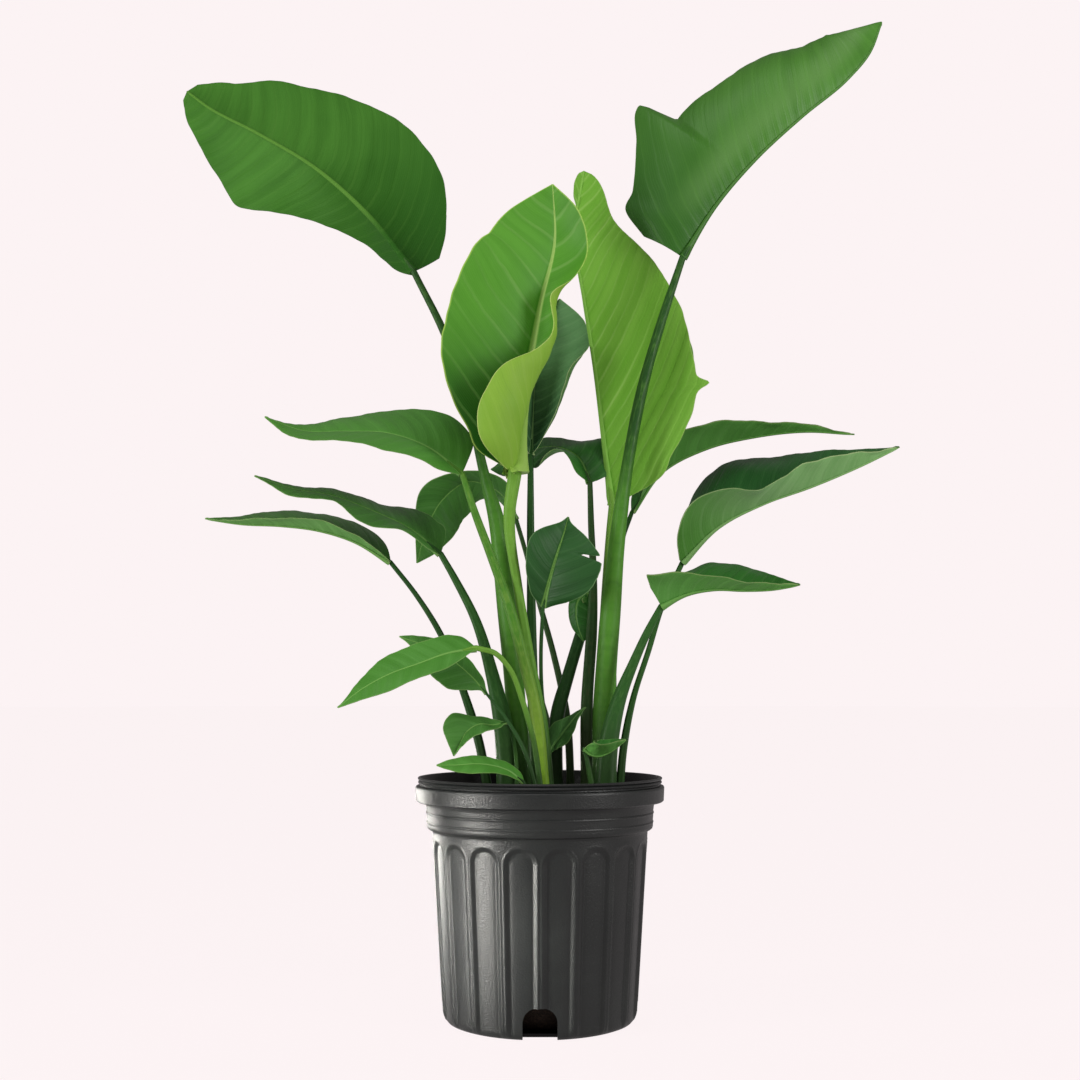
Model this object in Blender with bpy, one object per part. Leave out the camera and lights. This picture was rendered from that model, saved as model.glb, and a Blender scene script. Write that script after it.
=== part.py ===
"""Potted bird of paradise: nursery pot, potting mix, leaf blades and petioles.

Metres, +Z up, the front of the plant looks along -Y.  The origin is the middle
of the flat underside of the pot, so the pot stands on the plane z = 0.

A leaf is a blade and a petiole.  The design of a blade is its rib, a smooth
curve through six points, and for each half the reach of the margin from the rib
(half widths), the lift of that half and how much it curls.  A lift of 0 degrees
spreads the half flat to the viewer in front, a positive lift brings it forward.
A petiole is a centre line with a radius at each point.  All in millimetres.
"""
import math

import bmesh
import bpy
import numpy as np
from mathutils import Matrix

MM = 0.001

# ---- pot --------------------------------------------------------------------
FLUTES = 16
FLUTE_FLOOR = 8.0          # half angle of the flat floor of a flute, degrees
FLUTE_EDGE = 9.6           # half angle where a flute meets its rib, degrees
FLUTE_DEPTH = 2.0
FLUTE_TOP = 180.0          # height where the flutes have faded out
FLUTE_FADE = 13.0
POT_OUTSIDE = (            # radius and height of the outer wall, going up
    (84.0, 0.0), (93.5, 1.6), (98.2, 6.0), (99.6, 12.0), (102.6, 60.0),
    (108.6, 167.0), (109.4, 180.0), (110.0, 183.5), (114.6, 187.5),
    (117.0, 215.0), (126.0, 217.0), (126.8, 235.4), (122.4, 237.4),
    (125.4, 239.4), (125.2, 241.6),
)
POT_INSIDE = (             # radius and height of the inner wall, going down
    (121.6, 241.6), (119.0, 233.0), (113.6, 214.0), (111.4, 189.0),
    (106.0, 180.0), (105.0, 167.0), (96.0, 14.0), (92.0, 5.6), (84.0, 3.2),
)
DRAINS = 4
DRAIN_WIDTH = 33.0
DRAIN_HEIGHT = 31.0
DRAIN_INNER = 78.0         # the notches cut the foot outwards from this radius
DRAIN_OUTER = 118.0

# ---- potting mix ------------------------------------------------------------
MIX_TOP = 224.0
MIX_BOTTOM = 3.5
MIX_CHAMFER_IN = 66.0
MIX_CHAMFER_UP = 40.0
SEAT_GAP = 0.3             # gap between pieces that touch

# ---- blades -----------------------------------------------------------------
AT = (0.04, 0.12, 0.25, 0.42, 0.60, 0.78, 0.92)   # shares of the rib's length
RIB_THICKNESS = 2.4
MARGIN_SHARE = 0.42        # thickness of the blade as a share of the rib's
BASE_HALF = 2.0            # half width of a blade where it meets its petiole
TIP_HALF = 1.0
FLAT_ENDS = 20.0           # lift and curl fade out over 1 / 20 of the rib at each end
ARCH = 20.0                # how much a half droops towards its margin, degrees

LARGE = (13, 9)            # rows along a blade, columns across it
MEDIUM = (11, 7)
SMALL = (9, 7)

# ---- petioles ---------------------------------------------------------------
TUBE_RESOLUTION = 2        # eight sides
FOOT_RISE = 3.0            # a petiole leaves the mix upright over this height
NECK = 8.0                 # and runs straight into its blade over this length

POT_FINISH = ((0.030, 0.033, 0.032), 0.42)
MIX_FINISH = ((0.045, 0.030, 0.020), 0.95)
BLADE_FINISH = ((0.060, 0.240, 0.035), 0.45)
STEM_FINISH = ((0.110, 0.300, 0.050), 0.50)

BLADES = {
    # the two tall leaves, seen from below
    "tall_left": dict(
        size=LARGE, arch=ARCH,
        rib=((-137, 30, 781), (-190, 45, 844), (-250, 57, 902), (-317, 70, 951), (-386, 84, 988),
             (-388, 160, 981)),
        right=dict(reach=(53, 80, 109, 112, 88, 48, 16), lift=(-18, -18, -18)),
        left=dict(reach=(16, 34, 46, 56, 80, 72, 58), lift=(-60, -66, -43, -23, -46, -35)),
    ),
    "tall_right": dict(
        size=LARGE, arch=ARCH, at=(0.04, 0.12, 0.22, 0.29, 0.36, 0.45, 0.60, 0.78, 0.92),
        rib=((150, -18, 782), (183, -22, 840), (226, -26, 891), (275, -29, 936), (326, -30, 980),
             (362, -28, 1035)),
        left=dict(reach=(56, 90, 122, 150, 126, 121, 113, 86, 60), lift=(-26, -28, -34, -36, -30)),
        right=dict(reach=(23, 52, 72, 86, 94, 101, 99, 73, 43), lift=(-100, -110, -110, -106, -80)),
    ),
    # the two upright leaves in the middle
    "centre_left": dict(
        size=LARGE, arch=-ARCH,
        rib=((-25, -58, 548), (-20, -49, 609), (-10, -41, 669), (1, -40, 729), (15, -44, 789),
             (13, -56, 848)),
        left=dict(reach=(26, 42, 74, 94, 94, 74, 57), lift=(18, 18, 18, 16, 14)),
        right=dict(
            reach=(45, 60, 60, 42, 31, 38, 13),
            lift=(135, 133, 125, 111, 78, 58, 70, 35, 23, 25, 20),
            curl=(110, 130, 150, 150, 140, 130, 130, 60, 30, 20, 10)),
    ),
    "centre_right": dict(
        size=LARGE, arch=ARCH,
        rib=((77, 25, 525), (68, 25, 599), (59, 25, 674), (48, 25, 747), (38, 25, 822),
             (44, 25, 889)),
        right=dict(reach=(31, 52, 90, 105, 91, 52, 33), lift=(24, 17, 12, 11, 12, 13, 10)),
        left=dict(reach=(32, 60, 95, 124, 103, 66, 36), lift=(-139, -145, -157, -157, -156, -158)),
    ),
    "back_centre": dict(
        size=MEDIUM, arch=-ARCH,
        rib=((-10, 28, 580), (-8, 33, 617), (-6, 40, 654), (0, 48, 690), (11, 56, 725),
             (22, 62, 760)),
        left=dict(reach=(14, 22, 27, 29, 24, 16, 8), lift=(50, 66, 75, 72, 55, 42)),
        right=dict(
            reach=(9, 20, 27, 34, 42, 49, 27),
            lift=(40, 61, 71, 46, 20, 13), curl=(60, 140, 150, 90, 20, 0)),
    ),
    # the leaves that spread to the left
    "left_upper": dict(
        size=MEDIUM, arch=-ARCH,
        rib=((-79, -46, 548), (-113, -52, 574), (-153, -56, 588), (-196, -56, 590),
             (-239, -53, 591), (-279, -50, 606)),
        right=dict(reach=(25, 45, 58, 60, 55, 38, 12), lift=(-32, -42, -60, -66, -70, -80)),
        left=dict(reach=(9, 24, 35, 42, 35, 25, 10), lift=(38, 60, 63, 70, 66, 42)),
    ),
    "left_mid_a": dict(
        size=MEDIUM, arch=-ARCH,
        rib=((-103, -6, 470), (-135, -14, 496), (-173, -18, 514), (-213, -20, 529),
             (-254, -23, 536), (-294, -26, 549)),
        right=dict(reach=(29, 42, 49, 49, 34, 16, 6), lift=(-42, -61, -77, -75, -73, -60)),
        left=dict(reach=(7, 20, 31, 32, 15, 17, 6), lift=(53, 79, 59, 69, 57, 60)),
    ),
    "left_mid_b": dict(
        size=MEDIUM, arch=-ARCH,
        rib=((-158, 22, 464), (-194, 15, 484), (-233, 12, 496), (-273, 13, 502),
             (-314, 15, 504), (-354, 18, 512)),
        right=dict(reach=(29, 47, 57, 63, 60, 42, 18), lift=(-56, -68, -69, -68, -64, -60)),
        left=dict(reach=(7, 15, 24, 27, 25, 16, 6), lift=(111, 110, 110, 100, 100, 99)),
    ),
    "left_back": dict(
        size=MEDIUM, arch=-ARCH,
        rib=((-26, 72, 515), (-45, 79, 546), (-79, 84, 559), (-109, 88, 538), (-126, 90, 505),
             (-136, 90, 469)),
        right=dict(reach=(7, 18, 22, 22, 27, 14, 5), lift=(56, 55, 74, 33, 25, 24)),
        left=dict(reach=(5, 11, 20, 33, 35, 31, 17), lift=(-53, -68, -48, -45, -39, -37)),
    ),
    # the small leaves near the middle
    "centre_small": dict(
        size=MEDIUM, arch=-ARCH,
        rib=((3, -30, 412), (7, -36, 430), (12, -40, 449), (18, -41, 469), (24, -37, 487),
             (29, -30, 506)),
        left=dict(reach=(5, 14, 22, 30, 33, 22, 6), lift=(9, 17, 20, 19, 19, 23)),
        right=dict(reach=(8, 20, 34, 45, 49, 28, 6), lift=(10, 16, 16, 17, 25, 40)),
    ),
    "centre_hidden": dict(
        size=SMALL, arch=-ARCH,
        rib=((53, 32, 424), (50, 28, 432), (41, 25, 425), (38, 24, 408), (41, 24, 393),
             (46, 25, 380)),
        right=dict(reach=(4, 7, 9, 10, 9, 7, 3), lift=(-30, -80, -90, -90, -90, -90)),
        left=dict(reach=(4, 12, 18, 20, 19, 17, 9), lift=(20, 44, 52, 52, 52, 52)),
    ),
    "back_low": dict(
        size=MEDIUM, arch=-ARCH,
        rib=((53, 18, 548), (42, 26, 575), (20, 45, 592), (-6, 63, 596), (-30, 78, 588),
             (-55, 92, 579)),
        left=dict(reach=(13, 19, 28, 34, 34, 30, 15), lift=(60, 62, 14, 8, 2, -4)),
        right=dict(reach=(25, 43, 54, 38, 23, 17, 8), lift=(-33, -34, -53, -17, -7, -14)),
    ),
    # the leaves that spread to the right
    "right_upper": dict(
        size=MEDIUM, arch=-ARCH,
        rib=((100, 60, 522), (133, 56, 566), (181, 54, 591), (234, 54, 604), (289, 55, 610),
             (343, 56, 607)),
        left=dict(reach=(13, 31, 50, 56, 51, 21, 5), lift=(-48, -69, -70, -65, -70, -55)),
        right=dict(reach=(7, 24, 45, 44, 33, 13, 5), lift=(78, 114, 114, 110, 118, 125)),
    ),
    "right_mid": dict(
        size=MEDIUM, arch=-ARCH,
        rib=((149, 10, 462), (186, 3, 499), (234, 2, 524), (284, 5, 542), (334, 8, 563),
             (381, 14, 589)),
        left=dict(reach=(13, 47, 80, 99, 86, 59, 25), lift=(-69, -59, -55, -58, -56, -56)),
        right=dict(reach=(9, 43, 55, 43, 38, 23, 8), lift=(154, 130, 110, 129, 133, 140)),
    ),
    "right_low": dict(
        size=MEDIUM, arch=-ARCH,
        rib=((123, -34, 414), (148, -40, 426), (177, -42, 431), (206, -42, 430), (235, -40, 431),
             (264, -36, 436)),
        left=dict(reach=(20, 33, 46, 54, 52, 42, 16), lift=(-55, -61, -62, -60, -57, -53)),
        right=dict(reach=(39, 40, 35, 31, 26, 16, 7), lift=(144, 134, 119, 117, 119, 120)),
    ),
    # the low leaves round the foot of the plant
    "low_front": dict(
        size=MEDIUM, arch=-ARCH,
        rib=((-62, -84, 370), (-90, -94, 365), (-117, -101, 355), (-144, -108, 345),
             (-169, -114, 331), (-192, -118, 313)),
        right=dict(reach=(16, 22, 23, 24, 21, 12, 4), lift=(-44, -39, -38, -40, -50, -52)),
        left=dict(reach=(4, 10, 17, 19, 19, 14, 6), lift=(41, 34, 46, 40, 36, 38)),
    ),
    "low_behind": dict(
        size=SMALL, arch=-ARCH,
        rib=((-53, -58, 326), (-67, -56, 342), (-83, -54, 356), (-101, -52, 368),
             (-121, -50, 376), (-141, -48, 383)),
        right=dict(reach=(4, 10, 15, 18, 18, 13, 6), lift=(-46, -53, -52, -50, -45, -39)),
        left=dict(reach=(2, 12, 25, 27, 23, 12, 3), lift=(32, 26, 21, 17, 14, 12)),
    ),
    "low_small": dict(
        size=SMALL, arch=-ARCH,
        rib=((-33, -46, 298), (-47, -50, 296), (-60, -54, 298), (-72, -58, 291),
             (-79, -60, 279), (-85, -62, 266)),
        right=dict(reach=(2, 6, 10, 12, 25, 19, 7), lift=(-47, -44, -48, -23, -16, -7)),
        left=dict(reach=(2, 6, 9, 12, 11, 9, 3), lift=(55, 58, 40, 47, 71, 80)),
    ),
    "rim": dict(
        size=SMALL, arch=-ARCH,
        rib=((-16, -74, 240), (-29, -80, 251), (-45, -87, 258), (-62, -93, 261),
             (-80, -97, 260), (-99, -100, 258)),
        right=dict(reach=(7, 9, 12, 14, 13, 9, 4), lift=(-53, -63, -70, -69, -58, -47)),
        left=dict(reach=(2, 5, 8, 11, 12, 10, 5), lift=(50, 58, 62, 61, 65, 70)),
    ),
    "sprout": dict(
        size=SMALL, arch=ARCH,
        rib=((9, 2, 261), (15, 0, 273), (22, -3, 283), (30, -6, 293), (38, -9, 303),
             (47, -12, 312)),
        left=dict(reach=(5, 13, 21, 21, 16, 9, 4), lift=(-44, -48, -53, -60, -63, -63)),
        right=dict(reach=(2, 5, 9, 12, 12, 8, 3), lift=(70, 64, 45, 55, 70, 73)),
    ),
    "cup": dict(
        size=SMALL, arch=-ARCH,
        rib=((44, -50, 272), (50, -51, 267), (58, -52, 265), (67, -52, 268), (76, -52, 274),
             (85, -52, 281)),
        left=dict(reach=(6, 11, 15, 16, 14, 9, 4), lift=(-60, -62, -62, -60)),
        right=dict(reach=(6, 10, 14, 15, 13, 9, 4), lift=(130, 122, 118, 118)),
    ),
}

PETIOLES = {
    "tall_left": ((-18, 8, 10.3), (-24, 8, 304, 10.3), (-31, 8, 381, 10.3), (-38, 8, 450, 10.2),
                  (-46, 9, 508, 8.2), (-58, 12, 553, 5.7), (-80, 17, 626, 4.6),
                  (-108, 24, 709, 4.1), (-137, 30, 781, 3.5)),
    "tall_right": ((64, 0, 12.4), (67, -2, 330, 11.3), (74, -6, 422, 10.1), (82, -10, 500, 7.8),
                   (92, -12, 568, 6.3), (108, -14, 647, 5.8), (130, -17, 722, 4.6),
                   (150, -18, 782, 3.6)),
    "centre_left": ((10, -20, 5.7), (2, -20, 292, 6.2), (-11, -24, 365, 5.2), (-23, -33, 436, 4.9),
                    (-31, -48, 506, 5.9), (-25, -58, 548, 7.0)),
    "centre_right": ((64, 30, 8.7), (66, 30, 298, 8.4), (70, 29, 390, 7.6), (74, 28, 470, 6.2),
                     (77, 25, 525, 4.0)),
    "back_centre": ((-5, 32, 6.2), (-7, 32, 315, 6.0), (-9, 31, 403, 4.9), (-10, 29, 495, 4.0),
                    (-10, 28, 580, 3.1)),
    "left_upper": ((5, -38, 6.0), (-5, -38, 312, 6.0), (-16, -38, 358, 6.0), (-30, -38, 410, 5.3),
                   (-50, -39, 466, 4.5), (-68, -43, 514, 3.7), (-79, -46, 548, 3.1)),
    "left_mid_a": ((-33, -10, 11.3), (-37, -10, 290, 9.8), (-47, -9, 345, 7.2),
                   (-64, -8, 403, 4.7), (-85, -7, 444, 3.8), (-103, -6, 470, 3.1)),
    "left_mid_b": ((-53, 22, 5.2), (-64, 22, 277, 4.8), (-80, 22, 328, 4.1),
                   (-105, 22, 389, 3.2), (-131, 22, 430, 2.7), (-158, 22, 464, 2.4)),
    "left_back": ((33, 54, 4.5), (28, 56, 305, 4.0), (15, 59, 366, 3.4), (-4, 64, 435, 2.8),
                  (-17, 69, 484, 2.5), (-26, 72, 515, 2.3)),
    "centre_small": ((12, -4, 2.5), (7, -9, 285, 2.3), (2, -15, 326, 2.1), (1, -22, 370, 2.0),
                     (3, -30, 412, 1.9)),
    "centre_hidden": ((17, 30, 7.2), (19, 31, 307, 7.4), (31, 33, 349, 6.5), (44, 35, 392, 5.8),
                      (53, 32, 424, 4.0)),
    "back_low": ((48, 16, 6.2), (49, 16, 319, 6.2), (54, 17, 390, 5.8), (56, 18, 450, 4.1),
                 (54, 19, 505, 3.3), (53, 18, 548, 2.8)),
    "right_upper": ((75, 48, 5.2), (77, 50, 319, 4.6), (80, 55, 420, 3.6), (90, 59, 495, 2.7),
                    (100, 60, 522, 2.3)),
    "right_mid": ((84, 16, 4.5), (88, 16, 272, 4.1), (98, 14, 321, 3.3), (114, 12, 370, 3.0),
                  (130, 10, 415, 2.9), (149, 10, 462, 2.8)),
    "right_low": ((69, -26, 12.4), (74, -26, 280, 10.2), (81, -26, 320, 7.8), (92, -29, 355, 5.3),
                  (108, -32, 390, 3.9), (123, -34, 414, 3.1)),
    "low_front": ((2, -54, 3.1), (-7, -56, 282, 2.8), (-18, -62, 321, 2.7), (-31, -71, 352, 2.6),
                  (-45, -79, 366, 2.6), (-62, -84, 370, 2.7)),
    "low_behind": ((-1, -66, 2.5), (-16, -66, 272, 2.1), (-33, -64, 301, 1.7),
                   (-53, -58, 326, 1.4)),
    "low_small": ((-23, -32, 2.3), (-25, -34, 270, 2.0), (-29, -41, 290, 1.8),
                  (-33, -46, 298, 1.5)),
    "rim": ((-10, -66, 2.2), (-13, -70, 233, 2.0), (-16, -74, 240, 1.8)),
    "sprout": ((11, 6, 3.1), (10, 4, 246, 2.8), (9, 2, 261, 2.3)),
    "cup": ((53, -46, 3.1), (48, -48, 254, 2.6), (44, -50, 272, 2.0)),
    "left_stub": ((11, 62, 4.6), (9, 62, 285, 4.5), (-2, 62, 330, 3.0)),
}


def unit(vectors: np.ndarray) -> np.ndarray:
    """Return the vectors scaled to length one."""
    size = np.linalg.norm(vectors, axis=-1, keepdims=True)
    return vectors / np.maximum(size, 1e-9)


def spline(points: tuple, count: int) -> np.ndarray:
    """Sample a smooth curve through the points at even steps of its chord length."""
    knots = np.asarray(points, dtype=float)
    chord = np.linalg.norm(np.diff(knots[:, :3], axis=0), axis=1)
    at = np.concatenate([[0.0], np.cumsum(chord)]) / chord.sum()
    width = np.diff(at)
    steps = np.diff(knots, axis=0) / width[:, None]
    slope = np.concatenate([steps[:1], steps])
    for i in range(1, len(knots) - 1):
        total = width[i - 1] + width[i]
        slope[i] = (steps[i - 1] * width[i] + steps[i] * width[i - 1]) / total
    rows = []
    for t in np.linspace(0.0, 1.0, count):
        i = int(min(max(np.searchsorted(at, t) - 1, 0), len(knots) - 2))
        h = width[i]
        s = (t - at[i]) / h
        rows.append(
            (2 * s**3 - 3 * s**2 + 1) * knots[i]
            + (s**3 - 2 * s**2 + s) * h * slope[i]
            + (3 * s**2 - 2 * s**3) * knots[i + 1]
            + (s**3 - s**2) * h * slope[i + 1]
        )
    return np.array(rows)


def profile_at(shares: np.ndarray, at: tuple, values: tuple) -> np.ndarray:
    """Read a smooth curve through (at, values) at the given shares."""
    x = np.array(at, dtype=float)
    y = np.array(values, dtype=float)
    slope = np.gradient(y, x)
    flat = np.sign(np.diff(y, prepend=y[0])) * np.sign(np.diff(y, append=y[-1])) <= 0
    slope[1:-1][flat[1:-1]] = 0.0
    i = np.clip(np.searchsorted(x, shares) - 1, 0, len(x) - 2)
    h = x[i + 1] - x[i]
    s = (shares - x[i]) / h
    return (
        (2 * s**3 - 3 * s**2 + 1) * y[i]
        + (s**3 - 2 * s**2 + s) * h * slope[i]
        + (3 * s**2 - 2 * s**3) * y[i + 1]
        + (s**3 - s**2) * h * slope[i + 1]
    )


def evenly(shares: np.ndarray, values: tuple) -> np.ndarray:
    """Read a smooth curve through values that are spaced evenly from base to tip."""
    return profile_at(shares, tuple(np.linspace(0.0, 1.0, len(values))), values)


def frames(line: np.ndarray) -> tuple:
    """Carry a frame along a line without twist: front and right of each point."""
    tangent = unit(np.gradient(line, axis=0))
    front = np.zeros_like(line)
    first = np.array((0.0, -1.0, 0.0))
    front[0] = unit(first - tangent[0] * tangent[0].dot(first))
    for i in range(1, len(line)):
        step = line[i] - line[i - 1]
        moved = front[i - 1] - 2 * step * step.dot(front[i - 1]) / step.dot(step)
        ahead = tangent[i - 1] - 2 * step * step.dot(tangent[i - 1]) / step.dot(step)
        turn = tangent[i] - ahead
        if turn.dot(turn) > 1e-12:
            moved = moved - 2 * turn * turn.dot(moved) / turn.dot(turn)
        front[i] = unit(moved - tangent[i] * tangent[i].dot(moved))
    return front, np.cross(tangent, front)


def blade_point(reach, lift, curl, share):
    """Return the (sideways, forward) offset at a share of the arc of a half blade.

    The half is an arc whose chord is the reach at the lift angle and whose
    direction turns by the curl from the rib to the margin.
    """
    turn = np.where(np.abs(curl) < 0.01, 0.01, curl)
    radius = reach / (2 * np.sin(turn / 2))
    start = lift - turn / 2
    angle = start + turn * share
    sideways = radius * (np.sin(angle) - np.sin(start))
    forward = radius * (np.cos(start) - np.cos(angle))
    return sideways, forward


def blade_surface(blade: dict, rows: int, across: np.ndarray) -> np.ndarray:
    """Return the middle surface of a blade: rows by columns by three."""
    fine = spline(blade["rib"], 121)
    front, right = frames(fine)
    shares = np.linspace(0.0, 1.0, rows)
    pick = np.round(shares * 120).astype(int)
    rib, front, right = fine[pick], front[pick], right[pick]
    at = (0.0, *blade.get("at", AT), 1.0)
    ends = np.clip(np.minimum(shares, 1.0 - shares) * FLAT_ENDS, 0.0, 1.0)
    surface = np.repeat(rib[:, None, :], len(across), axis=1)
    for name, sign in (("left", -1.0), ("right", 1.0)):
        half = blade[name]
        reach = profile_at(shares, at, (BASE_HALF, *half["reach"], TIP_HALF))
        lift = np.radians(evenly(shares, half["lift"])) * ends
        curl = np.radians(evenly(shares, half.get("curl", (blade["arch"],) * 3))) * ends
        for j, u in enumerate(across):
            if u * sign <= 0.0:
                continue
            side, forward = blade_point(reach, lift, curl, abs(u))
            surface[:, j] += sign * side[:, None] * right + forward[:, None] * front
    return surface


def clear_scene() -> None:
    """Remove every object the scene starts with."""
    for item in list(bpy.data.objects):
        bpy.data.objects.remove(item, do_unlink=True)


def give_finish(item: bpy.types.Object, finish: tuple) -> None:
    """Give an object its own Principled material and smooth shading."""
    color, roughness = finish
    material = bpy.data.materials.new("mat_" + item.name)
    material.use_nodes = True
    shader = material.node_tree.nodes["Principled BSDF"]
    shader.inputs["Base Color"].default_value = (*color, 1.0)
    shader.inputs["Roughness"].default_value = roughness
    shader.inputs["Metallic"].default_value = 0.0
    item.data.materials.clear()
    item.data.materials.append(material)
    item.data.shade_smooth()
    item.data.set_sharp_from_angle(angle=math.radians(40.0))


def select_only(item: bpy.types.Object) -> None:
    """Make one object the selected and active one."""
    bpy.ops.object.select_all(action="DESELECT")
    item.select_set(True)
    bpy.context.view_layer.objects.active = item


def column_angles() -> list:
    """Return (angle, is flute floor) of every column of the pot: four a flute."""
    pitch = 360.0 / FLUTES
    columns = []
    for k in range(FLUTES):
        middle = (k + 0.5) * pitch - 90.0
        for step in (-FLUTE_EDGE, -FLUTE_FLOOR, FLUTE_FLOOR, FLUTE_EDGE):
            columns.append((math.radians(middle + step), abs(step) < FLUTE_EDGE))
    return columns


def flute_depth(z: float) -> float:
    """Return how far the floor of a flute is pressed in at a height."""
    fade = min(max((FLUTE_TOP - z) / FLUTE_FADE, 0.0), 1.0)
    foot = min(max((z - 1.0) / 8.0, 0.0), 1.0)
    return FLUTE_DEPTH * fade * foot


def turned(name: str, profile: list, finish: tuple) -> bpy.types.Object:
    """Spin a profile of (radius, height, is fluted) into a closed round body."""
    columns = column_angles()
    count = len(columns)
    mesh = bpy.data.meshes.new(name)
    work = bmesh.new()
    fluted = work.verts.layers.int.new("fluted")
    row = []
    for radius, z, flag in profile:
        vert = work.verts.new((radius * MM, 0.0, z * MM))
        vert[fluted] = int(flag)
        row.append(vert)
    edges = [work.edges.new(pair) for pair in zip(row, row[1:])]
    bmesh.ops.spin(
        work, geom=row + edges, cent=(0, 0, 0), axis=(0, 0, 1), dvec=(0, 0, 0),
        angle=math.tau, steps=count, use_merge=True, use_duplicate=False,
    )
    bmesh.ops.remove_doubles(work, verts=work.verts, dist=1e-6)
    for vert in work.verts:
        radius = math.hypot(vert.co.x, vert.co.y)
        if radius < 1e-6:
            continue
        step = round(math.atan2(vert.co.y, vert.co.x) % math.tau * count / math.tau) % count
        angle, floor = columns[step]
        if floor and vert[fluted]:
            radius -= flute_depth(vert.co.z / MM) * MM
        vert.co.x = radius * math.cos(angle)
        vert.co.y = radius * math.sin(angle)
    bmesh.ops.recalc_face_normals(work, faces=work.faces)
    work.to_mesh(mesh)
    work.free()
    item = bpy.data.objects.new(name, mesh)
    bpy.context.collection.objects.link(item)
    give_finish(item, finish)
    return item


def drain_cutter() -> bpy.types.Object:
    """Extrude an arch outwards through the foot of the pot, once for each drain."""
    half = DRAIN_WIDTH / 2
    rise = 19.0
    outline = [(-half, -5.0), (half, -5.0)]
    for k in range(9):
        a = math.radians(22.5 * k)
        wide = math.copysign(abs(math.cos(a)) ** 0.75, math.cos(a)) if k != 4 else 0.0
        outline.append((half * wide, DRAIN_HEIGHT - rise + rise * math.sin(a) ** 0.8))
    mesh = bpy.data.meshes.new("cutter")
    work = bmesh.new()
    for index in range(DRAINS):
        ring = [work.verts.new((DRAIN_INNER * MM, x * MM, z * MM)) for x, z in outline]
        cap = work.faces.new(ring)
        grown = bmesh.ops.extrude_face_region(work, geom=[cap])["geom"]
        far = [piece for piece in grown if isinstance(piece, bmesh.types.BMVert)]
        bmesh.ops.translate(work, verts=far, vec=((DRAIN_OUTER - DRAIN_INNER) * MM, 0, 0))
        turn = Matrix.Rotation(math.tau * index / DRAINS - math.pi / 2, 3, "Z")
        bmesh.ops.rotate(work, verts=ring + far, cent=(0, 0, 0), matrix=turn)
    bmesh.ops.recalc_face_normals(work, faces=work.faces)
    work.to_mesh(mesh)
    work.free()
    item = bpy.data.objects.new("cutter", mesh)
    item.hide_render = True
    item.display_type = "WIRE"
    bpy.context.collection.objects.link(item)
    return item


def build_pot() -> None:
    """Build the fluted nursery pot with its rim, collar and drain notches."""
    profile = [(0.0, 0.0, False)]
    profile += [(r, z, True) for r, z in POT_OUTSIDE]
    profile += [(r, z, False) for r, z in POT_INSIDE]
    profile.append((0.0, POT_INSIDE[-1][1], False))
    pot = turned("pot", profile, POT_FINISH)
    cutter = drain_cutter()
    cut = pot.modifiers.new("drains", "BOOLEAN")
    cut.operation = "DIFFERENCE"
    cut.solver = "EXACT"
    cut.object = cutter
    select_only(pot)
    bpy.ops.object.modifier_apply(modifier=cut.name)
    bpy.data.objects.remove(cutter, do_unlink=True)


def inner_radius(z: float) -> float:
    """Return the radius of the inner wall of the pot at a height."""
    wall = sorted((height, radius) for radius, height in POT_INSIDE)
    return float(np.interp(z, [w[0] for w in wall], [w[1] for w in wall]))


def build_mix() -> None:
    """Build the potting mix that fills the pot up to below the rim."""
    heights = (MIX_CHAMFER_UP, 100.0, 167.0, 180.0, 189.0, 214.0, MIX_TOP)
    profile = [(0.0, MIX_BOTTOM, False), (MIX_CHAMFER_IN, MIX_BOTTOM, False)]
    profile += [(inner_radius(z) - SEAT_GAP, z, False) for z in heights]
    profile.append((0.0, MIX_TOP, False))
    turned("potting_mix", profile, MIX_FINISH)


def build_blade(name: str, blade: dict) -> None:
    """Shape a grid into a leaf blade and thicken it, most of all along its rib."""
    rows, columns = blade["size"]
    across = np.linspace(-1.0, 1.0, columns)
    surface = blade_surface(blade, rows, across) * MM
    bpy.ops.mesh.primitive_grid_add(
        x_subdivisions=columns - 1, y_subdivisions=rows - 1, size=2.0)
    item = bpy.context.active_object
    item.name = name + "_blade"
    item.data.name = item.name
    group = item.vertex_groups.new(name="thick")
    for vert in item.data.vertices:
        j = round((vert.co.x + 1.0) / 2.0 * (columns - 1))
        i = round((vert.co.y + 1.0) / 2.0 * (rows - 1))
        share = i / (rows - 1)
        vert.co = surface[i, j]
        thick = 2 * j == columns - 1 and 0.02 < share < 0.95
        group.add([vert.index], 1.0 if thick else MARGIN_SHARE, "REPLACE")
    slab = item.modifiers.new("slab", "SOLIDIFY")
    slab.thickness = RIB_THICKNESS * MM
    slab.offset = 0.0
    slab.vertex_group = group.name
    slab.use_even_offset = False
    select_only(item)
    bpy.ops.object.modifier_apply(modifier=slab.name)
    give_finish(item, BLADE_FINISH)


def petiole_line(name: str) -> np.ndarray:
    """Return the centre line of a petiole, with the radius as a fourth column."""
    path = PETIOLES[name]
    x, y, radius = path[0]
    foot = (x, y, MIX_TOP + SEAT_GAP, radius)
    rest = [np.array(knot, dtype=float) for knot in path[1:]]
    if name in BLADES:
        rib = spline(BLADES[name]["rib"], 121)
        ahead = unit(rib[1] - rib[0])
        rest[-1][:3] -= ahead * SEAT_GAP
        neck = rest[-1].copy()
        neck[:3] -= ahead * NECK
        rest.insert(-1, neck)
    start = (x, y, foot[2] + FOOT_RISE, radius)
    line = spline((start, *rest), max(6, min(12, len(rest) + 2)))
    if name in BLADES:
        line[-2] = neck
    return np.vstack([foot, line])


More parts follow.
